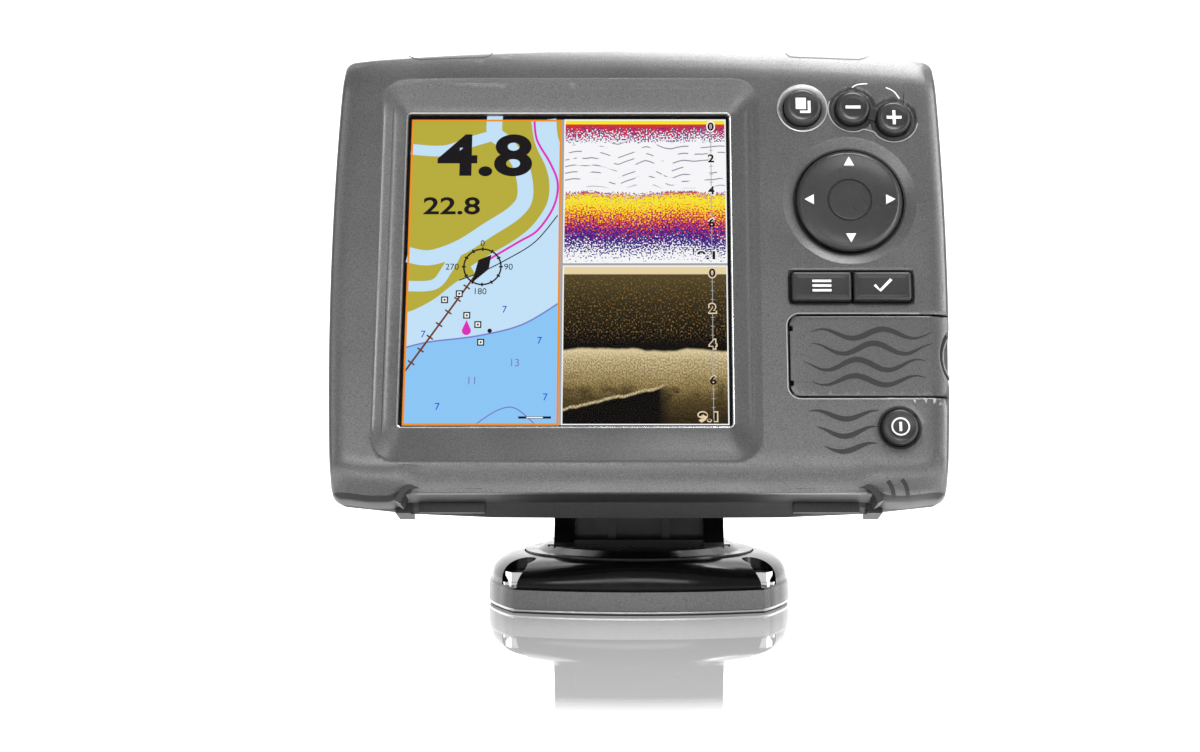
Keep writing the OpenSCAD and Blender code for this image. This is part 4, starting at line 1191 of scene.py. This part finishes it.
def scan_material():
    """Dark water with amber specks over a bright grainy bottom and darker ridges."""
    echo = Echo("scan_colour", 11.0)
    black, amber, beige = (0.004, 0.003, 0.002), (0.24, 0.13, 0.03), (0.80, 0.66, 0.38)
    colour = echo.bands(echo.plus(echo.down, echo.swing(echo.grains(3.2, 0.6, 4.0), 0.10)), [
        (0.0, (0.10, 0.075, 0.025)), (0.25, (0.030, 0.022, 0.008)), (0.45, black), (0.525, black),
        (0.54, beige), (0.64, (0.62, 0.48, 0.24)), (0.74, (0.40, 0.29, 0.11)), (0.84, (0.12, 0.08, 0.025)),
        (0.95, (0.04, 0.026, 0.008)),
    ])
    specks = echo.step(echo.grains(95, 80, 0.0, 5.0), 0.56, 0.80)
    colour = echo.mix(echo.times(specks, echo.band(echo.down, 0.06, 0.46, 0.04)), colour, amber)
    blots = echo.step(echo.grains(9, 12, 4.0, 8.0), 0.50, 0.66)
    colour = echo.mix(echo.times(blots, echo.step(echo.down, 0.66, 0.84)), colour, (0.06, 0.04, 0.012))
    rise = echo.plus(echo.down, echo.times(echo.across, 0.24))
    ridge = echo.plus(rise, echo.times(echo.grains(9, 1, 2.0, 17.0), 0.05))
    hollow = echo.times(echo.step(ridge, 0.935, 0.945), echo.step(echo.across, 0.66, 0.58))
    colour = echo.mix(hollow, colour, black)
    crest = echo.times(echo.band(ridge, 0.922, 0.936, 0.006), echo.step(echo.across, 0.64, 0.56))
    colour = echo.mix(crest, colour, beige)
    colour = echo.mix(echo.step(echo.down, 0.056, 0.05), colour, beige)
    fine = echo.step(echo.grains(120, 90, 1.0, 2.0), 0.42, 0.62)
    shade = echo.mix(fine, (0.0, 0.0, 0.0), colour)
    half = echo.times(echo.step(echo.down, 0.5, 0.6), 0.55)
    return echo.show(echo.mix(half, colour, shade))


def echo_panel(name, top, bottom, material):
    """Flat panel of the display with its own (across, down) coordinates."""
    corners = [on_screen(s, t) for s, t in ((PANELS_LEFT, top), (1, top), (1, bottom), (PANELS_LEFT, bottom))]
    mesh = on_display(name, raised(corners, PANEL_DEPTH), [(0, 1, 2, 3)], material)
    layer = mesh.uv_layers.new(name="panel")
    for loop, across_down in zip(mesh.loops, ((0, 0), (1, 0), (1, 1), (0, 1))):
        layer.data[loop.index].uv = across_down


def make_picture():
    echo_panel("echo_panel", *TOP_PANEL, sonar_material())
    echo_panel("scan_panel", *LOW_PANEL, scan_material())
    picture = Picture()
    for draw in (draw_coast, draw_route, draw_compass, draw_places):
        draw(picture)
    picture.border("orange", 0, CHART_RIGHT, 0, 1, 0.0065)
    picture.box("divider", CHART_RIGHT, PANELS_LEFT, 0, 1)
    picture.box("divider", PANELS_LEFT, 1, TOP_PANEL[1], LOW_PANEL[0])
    draw_scale(picture, "white", *TOP_PANEL)
    draw_scale(picture, "beige", *LOW_PANEL)
    for panel in (TOP_PANEL, LOW_PANEL):
        picture.border("white", PANELS_LEFT, 1, *panel, 0.004)
    picture.finish()


# ---------------- stand
def base_radius(angles):
    """How far the edge of the base reaches from its middle, for each angle."""
    behind, side_r = 60, 61
    front = arc((0, behind), BASE_HALF_D + behind, 249, 291, 24)
    side = arc((BASE_HALF_W - side_r, 0), side_r, -23, 23, 24)
    loop = np.array(front + side + [(-x, -y) for x, y in front] + [(-x, -y) for x, y in side])
    turn = np.unwrap(np.arctan2(loop[:, 1], loop[:, 0]))
    reach = np.hypot(loop[:, 0], loop[:, 1])
    order = np.argsort(turn % (2 * math.pi))
    return np.interp(angles, (turn % (2 * math.pi))[order], reach[order], period=2 * math.pi)


def cut_away(piece, shells):
    """Cuts closed shells (in row millimetres) out of a piece."""
    for verts, faces in shells:
        mesh = bpy.data.meshes.new("cutter")
        mesh.from_pydata([ROW @ Vector(p) for p in verts], [], faces)
        bm = bmesh.new()
        bm.from_mesh(mesh)
        bmesh.ops.recalc_face_normals(bm, faces=bm.faces)
        bm.to_mesh(mesh)
        bm.free()
        cutter = place("cutter", mesh)
        apply(piece, "BOOLEAN", operation="DIFFERENCE", object=cutter, solver="EXACT")
        bpy.data.objects.remove(cutter)


def level_ring(angles, radii, z):
    """Level ring of points about the swivel axis, in row millimetres."""
    return [(r * math.cos(a), r * math.sin(a), z) for a, r in zip(angles, radii)]


def post(x, y, r, z0, z1, steps=48):
    """Upright cylinder as a closed shell, in row millimetres."""
    return loft([[(px, py, z) for px, py in circle((x, y), r, steps)] for z in (z0, z1)], True, True)


def base_rings(angles, reach):
    """Rings of the base, from its foot over the front facet and up the dome to the disc."""
    steps, roundness, edge_z, edge_inset = 18, 2.3, 7.3, 0.75
    stops = ((1.0, 0.5), (1.25, 0.2), (1.7, 0.1), (3.5, 0.1), (6.6, 0.3), (edge_z, edge_inset))
    rings = [level_ring(angles, reach - inset, z) for z, inset in stops]
    for k in range(1, steps + 1):
        share = k / steps
        fall = (1 - math.sqrt(1 - (0.985 * share) ** roundness)) / (1 - math.sqrt(1 - 0.985**roundness))
        radii = (reach - edge_inset) * (1 - fall) + (DISC_R + 0.9) * fall
        rings.append(level_ring(angles, radii, edge_z + (RIM_Z - edge_z) * share))
    return rings


def is_facet(p):
    """True for the flat strip along the front of the base."""
    return p.y < FACET_Y and abs(p.x) < FACET_HALF_W and FACET_LOW < p.z < FACET_HIGH


def make_base():
    angles = np.linspace(0, 2 * math.pi, 192, endpoint=False)
    reach = base_radius(angles)
    base = build("base_shell", *loft(base_rings(angles, reach), True, True), "base", "gloss_black", "gloss",
                 axes=ROW, replaces=["mounting_base"], sharp=BASE_ANGLE, backs=("facet", is_facet))
    above = 20
    cuts = [post(0, 0, DISC_R + 0.4, BASE_TOP, above, 144), post(0, 0, NUT_POCKET_R, 0, NUT_POCKET_TOP)]
    cuts.append(post(0, 0, SWIVEL_BORE_R, 0, above))
    for x in (-SCREW_X, SCREW_X):
        for y in (-SCREW_Y, SCREW_Y):
            outer = (x + math.copysign(WELL_OUT_X, x), y + math.copysign(WELL_OUT_Y, y))
            cuts.append(post(x, y, SCREW_BORE_R, 0, SCREW_SEAT + 0.9))
            cuts.append(post(x, y, SCREW_WELL_R, SCREW_SEAT, above))
            cuts.append(post(*outer, SCREW_WELL_R + 0.3, SCREW_SEAT, above))
    cut_away(base, cuts)
    base.data.set_sharp_from_angle(angle=math.radians(BASE_ANGLE))
    # Polished band at the foot of the base: painted highlight along its lower edge.
    foot = [(-0.8, 0.6), (-0.15, 0.6), (0.0, 0.75), (0.0, 1.15), (-0.15, 1.3), (-0.8, 1.3)]
    foot_highlight = tube([level_ring(angles, reach + out, z) for out, z in foot])
    build("base_foot_highlight", *foot_highlight, "base", "gloss_black", "edge", axes=ROW)
    # Polished ring at the edge of the swivel disc: painted highlight.
    section = [(-0.9, 15.3), (-0.3, 15.32), (-0.05, 15.2), (0.0, 15.0), (-0.05, 14.8), (-0.9, 14.8)]
    lip = [[(x, y, z) for x, y in circle((0, 0), DISC_R + r - 0.05, 144)] for r, z in section]
    build("disc_lip_highlight", *tube(lip), "neck", "gloss_black", "edge", axes=ROW)


def make_spring():
    """Coil spring under the release lever, in place of its solid."""
    low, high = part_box("release_spring")
    middle = (low + high) / 2 / MM
    span = (high - low) / MM
    axis = max(range(3), key=lambda i: span[i])
    first, second = [i for i in range(3) if i != axis]
    wire, turns, steps = 0.45, 5, 26
    r = min(span[first], span[second]) / 2 - wire
    rings = []
    for k in range(turns * steps + 1):
        a = 2 * math.pi * k / steps
        along = middle[axis] + (k / (turns * steps) - 0.5) * (span[axis] - 2 * wire)
        ring = []
        for b in np.linspace(0, 2 * math.pi, 10, endpoint=False):
            p = [0.0, 0.0, 0.0]
            p[first] = middle[first] + (r + wire * math.cos(b)) * math.cos(a)
            p[second] = middle[second] + (r + wire * math.cos(b)) * math.sin(a)
            p[axis] = along + wire * math.sin(b)
            ring.append(tuple(p))
        rings.append(ring)
    body = next(b for b, nodes in frame["record"]["behaviour"]["bodies"].items() if "release_spring" in nodes)
    build("release_coil", *loft(rings, True, True), body, "plain_steel", "steel", axes=ROW,
          replaces=["release_spring"])


# ---------------- printed marks on the head
def mark(name, lines, body, depth=skin_depth, thick=0.05, material="ink", smooth=True):
    """Printed lines that lie on a surface of the head. Each is a path and its width."""
    shells = []
    for path, widths in lines:
        outline, faces = strip(curve_through(path) if smooth else path, widths)
        w = on_surface(outline, depth) - thick
        shells.append(([(u, d, v) for (u, v), d in zip(outline, w)], faces))
    build(name, *join(*shells), body, "bezel_paint", material)


def wave(start, steps, v, rise, phase, width):
    """Path of a plain ripple, and its widths, which are thin at both ends."""
    path = [(start + 2.4 * k, v + rise * math.sin(0.9 * k + phase)) for k in range(steps)]
    return path, 0.1 + width * np.sin(np.linspace(0, math.pi, 8 * (steps - 1) + 1))


def make_marks():
    arcs = [[(60.6, 53.4), (62.2, 54.3), (65.0, 54.6)], [(70.2, 53.4), (72.4, 52.2), (73.9, 50.0)]]
    mark("zoom_arcs", [(path, 0.35) for path in arcs], "head", material="print")
    upper = ((47, 15, -19.4, 1.3, 0.4), (47, 15, -23.6, 1.5, 1.4), (45, 15, -28.2, 1.5, 2.4),
             (47, 14, -32.6, 1.3, 3.4))
    mark("door_waves", [wave(*row, 1.5) for row in upper], "card_door", door_depth)
    lower = ((46, 9, -42.2, 1.2, 0.9), (48, 8, -46.8, 1.4, 1.9), (50, 7, -51.2, 1.2, 2.9))
    mark("side_waves", [wave(*row, 1.4) for row in lower], "head")
    # Bright line along the bezel's edge around the door: painted highlight.
    mark("door_cut_highlight", [(door_cut(DOOR_GAP + 0.28), 0.2)], "head", material="ring", smooth=False)
    seam = [(66.5, 65.0), (64.6, 63.9), (62.1, 63.3), (53, 63.6), (44.4, 63.9), (42.9, 64.6), (42.2, 65.9)]
    mark("top_seams", [([(side * u, v) for u, v in seam], 0.45) for side in (-1, 1)], "head")
    slots = [[(67.0, -60.2), (68.2, -61.8), (69.2, -64.6)], [(70.8, -59.8), (72.0, -61.4), (73.0, -64.4)]]
    mark("side_slots", [(path, 1.1) for path in slots], "head", thick=0.12)


def make_lips():
    """Lips under the lower corners that hold a sun cover, painted black as shade."""
    curl = [(42.4, -61.9), (52, -61.6), (60.4, -61.5), (63.2, -62.6), (65.0, -65.8)]
    for side, name in ((-1, "left_lip"), (1, "right_lip")):
        path = curve_through([(side * u, v) for u, v in curl])
        outline = ribbon(path, np.linspace(0.9, 1.7, len(path)))
        # Black instead of bezel paint: painted shade of their ends.
        build(name, *plate(outline, -4.2, 5.0), "head", "bezel_paint", "dark")


# ---------------- CAD nodes that stay
KEEP = {
    "gloss": ["pedestal"],
    "satin": ["cradle", "release_lever"],
    "case": ["rear_case", "card_bay", "connector_shell", "connector_nut"],
    "rubber": ["base_pad", "case_gasket", "window_seal", "door_seal", "connector_seal", "vent_plug"],
    "chrome": ["mounting_screws"],
    "steel": ["swivel_bolt", "swivel_washer", "swivel_nut", "tilt_bolt", "tilt_nut", "lever_pin",
              "case_screws", "board_screws", "shield_can", "beeper", "clock_cell", "door_pin", "card_socket"],
    "white": ["swivel_ring", "friction_washers", "backlight", "pad_pivot"],
    "silicone": ["keypad_membrane"],
    "board": ["main_board", "keypad_board"],
    "ribbon": ["lcd_ribbon", "keypad_ribbon"],
    "ceramic": ["gps_antenna"],
    "insert": ["connector_insert"],
    "gold": ["connector_pins"],
    "glass": ["display_window"],
    "panel": ["lcd_panel"],
}
ROUNDED = {"pedestal": 0.8, "cradle": 0.6, "release_lever": 0.6, "rear_case": 0.9, "mounting_screws": 0.25,
           "connector_shell": 0.4, "connector_nut": 0.3, "base_pad": 0.25, "tilt_bolt": 0.2, "tilt_nut": 0.2,
           "case_screws": 0.15}


def dress_cad():
    """Gives the CAD nodes that stay their materials, and rounds the edges that show."""
    MAT["panel"] = lit("panel_off", (0.004, 0.005, 0.006))
    for key, names in KEEP.items():
        for name in names:
            node = frame["nodes"][name]
            node.data.materials.clear()
            node.data.materials.append(MAT[key])
            if name in ROUNDED:
                modify(node, "BEVEL", width=ROUNDED[name] * MM, segments=3, limit_method="ANGLE",
                       angle_limit=math.radians(EDGE_ANGLE), harden_normals=True)


make_camera()
make_floor()
make_lights()
make_bezel()
make_key_surrounds()
make_window_lip()
make_door()
make_round_key("pages_key", PAGES_AT, PAGES_R, pages_icon)
make_round_key("zoom_out_key", ZOOM_OUT_AT, ZOOM_R, minus_icon)
make_round_key("zoom_in_key", ZOOM_IN_AT, ZOOM_R, plus_icon)
make_round_key("power_key", POWER_AT, POWER_R, power_icon)
make_soft_key("menu_key", MENU_U, bars_icon)
make_soft_key("enter_key", ENTER_U, tick_icon)
make_pad()
make_picture()
make_base()
make_spring()
make_marks()
make_lips()
dress_cad()
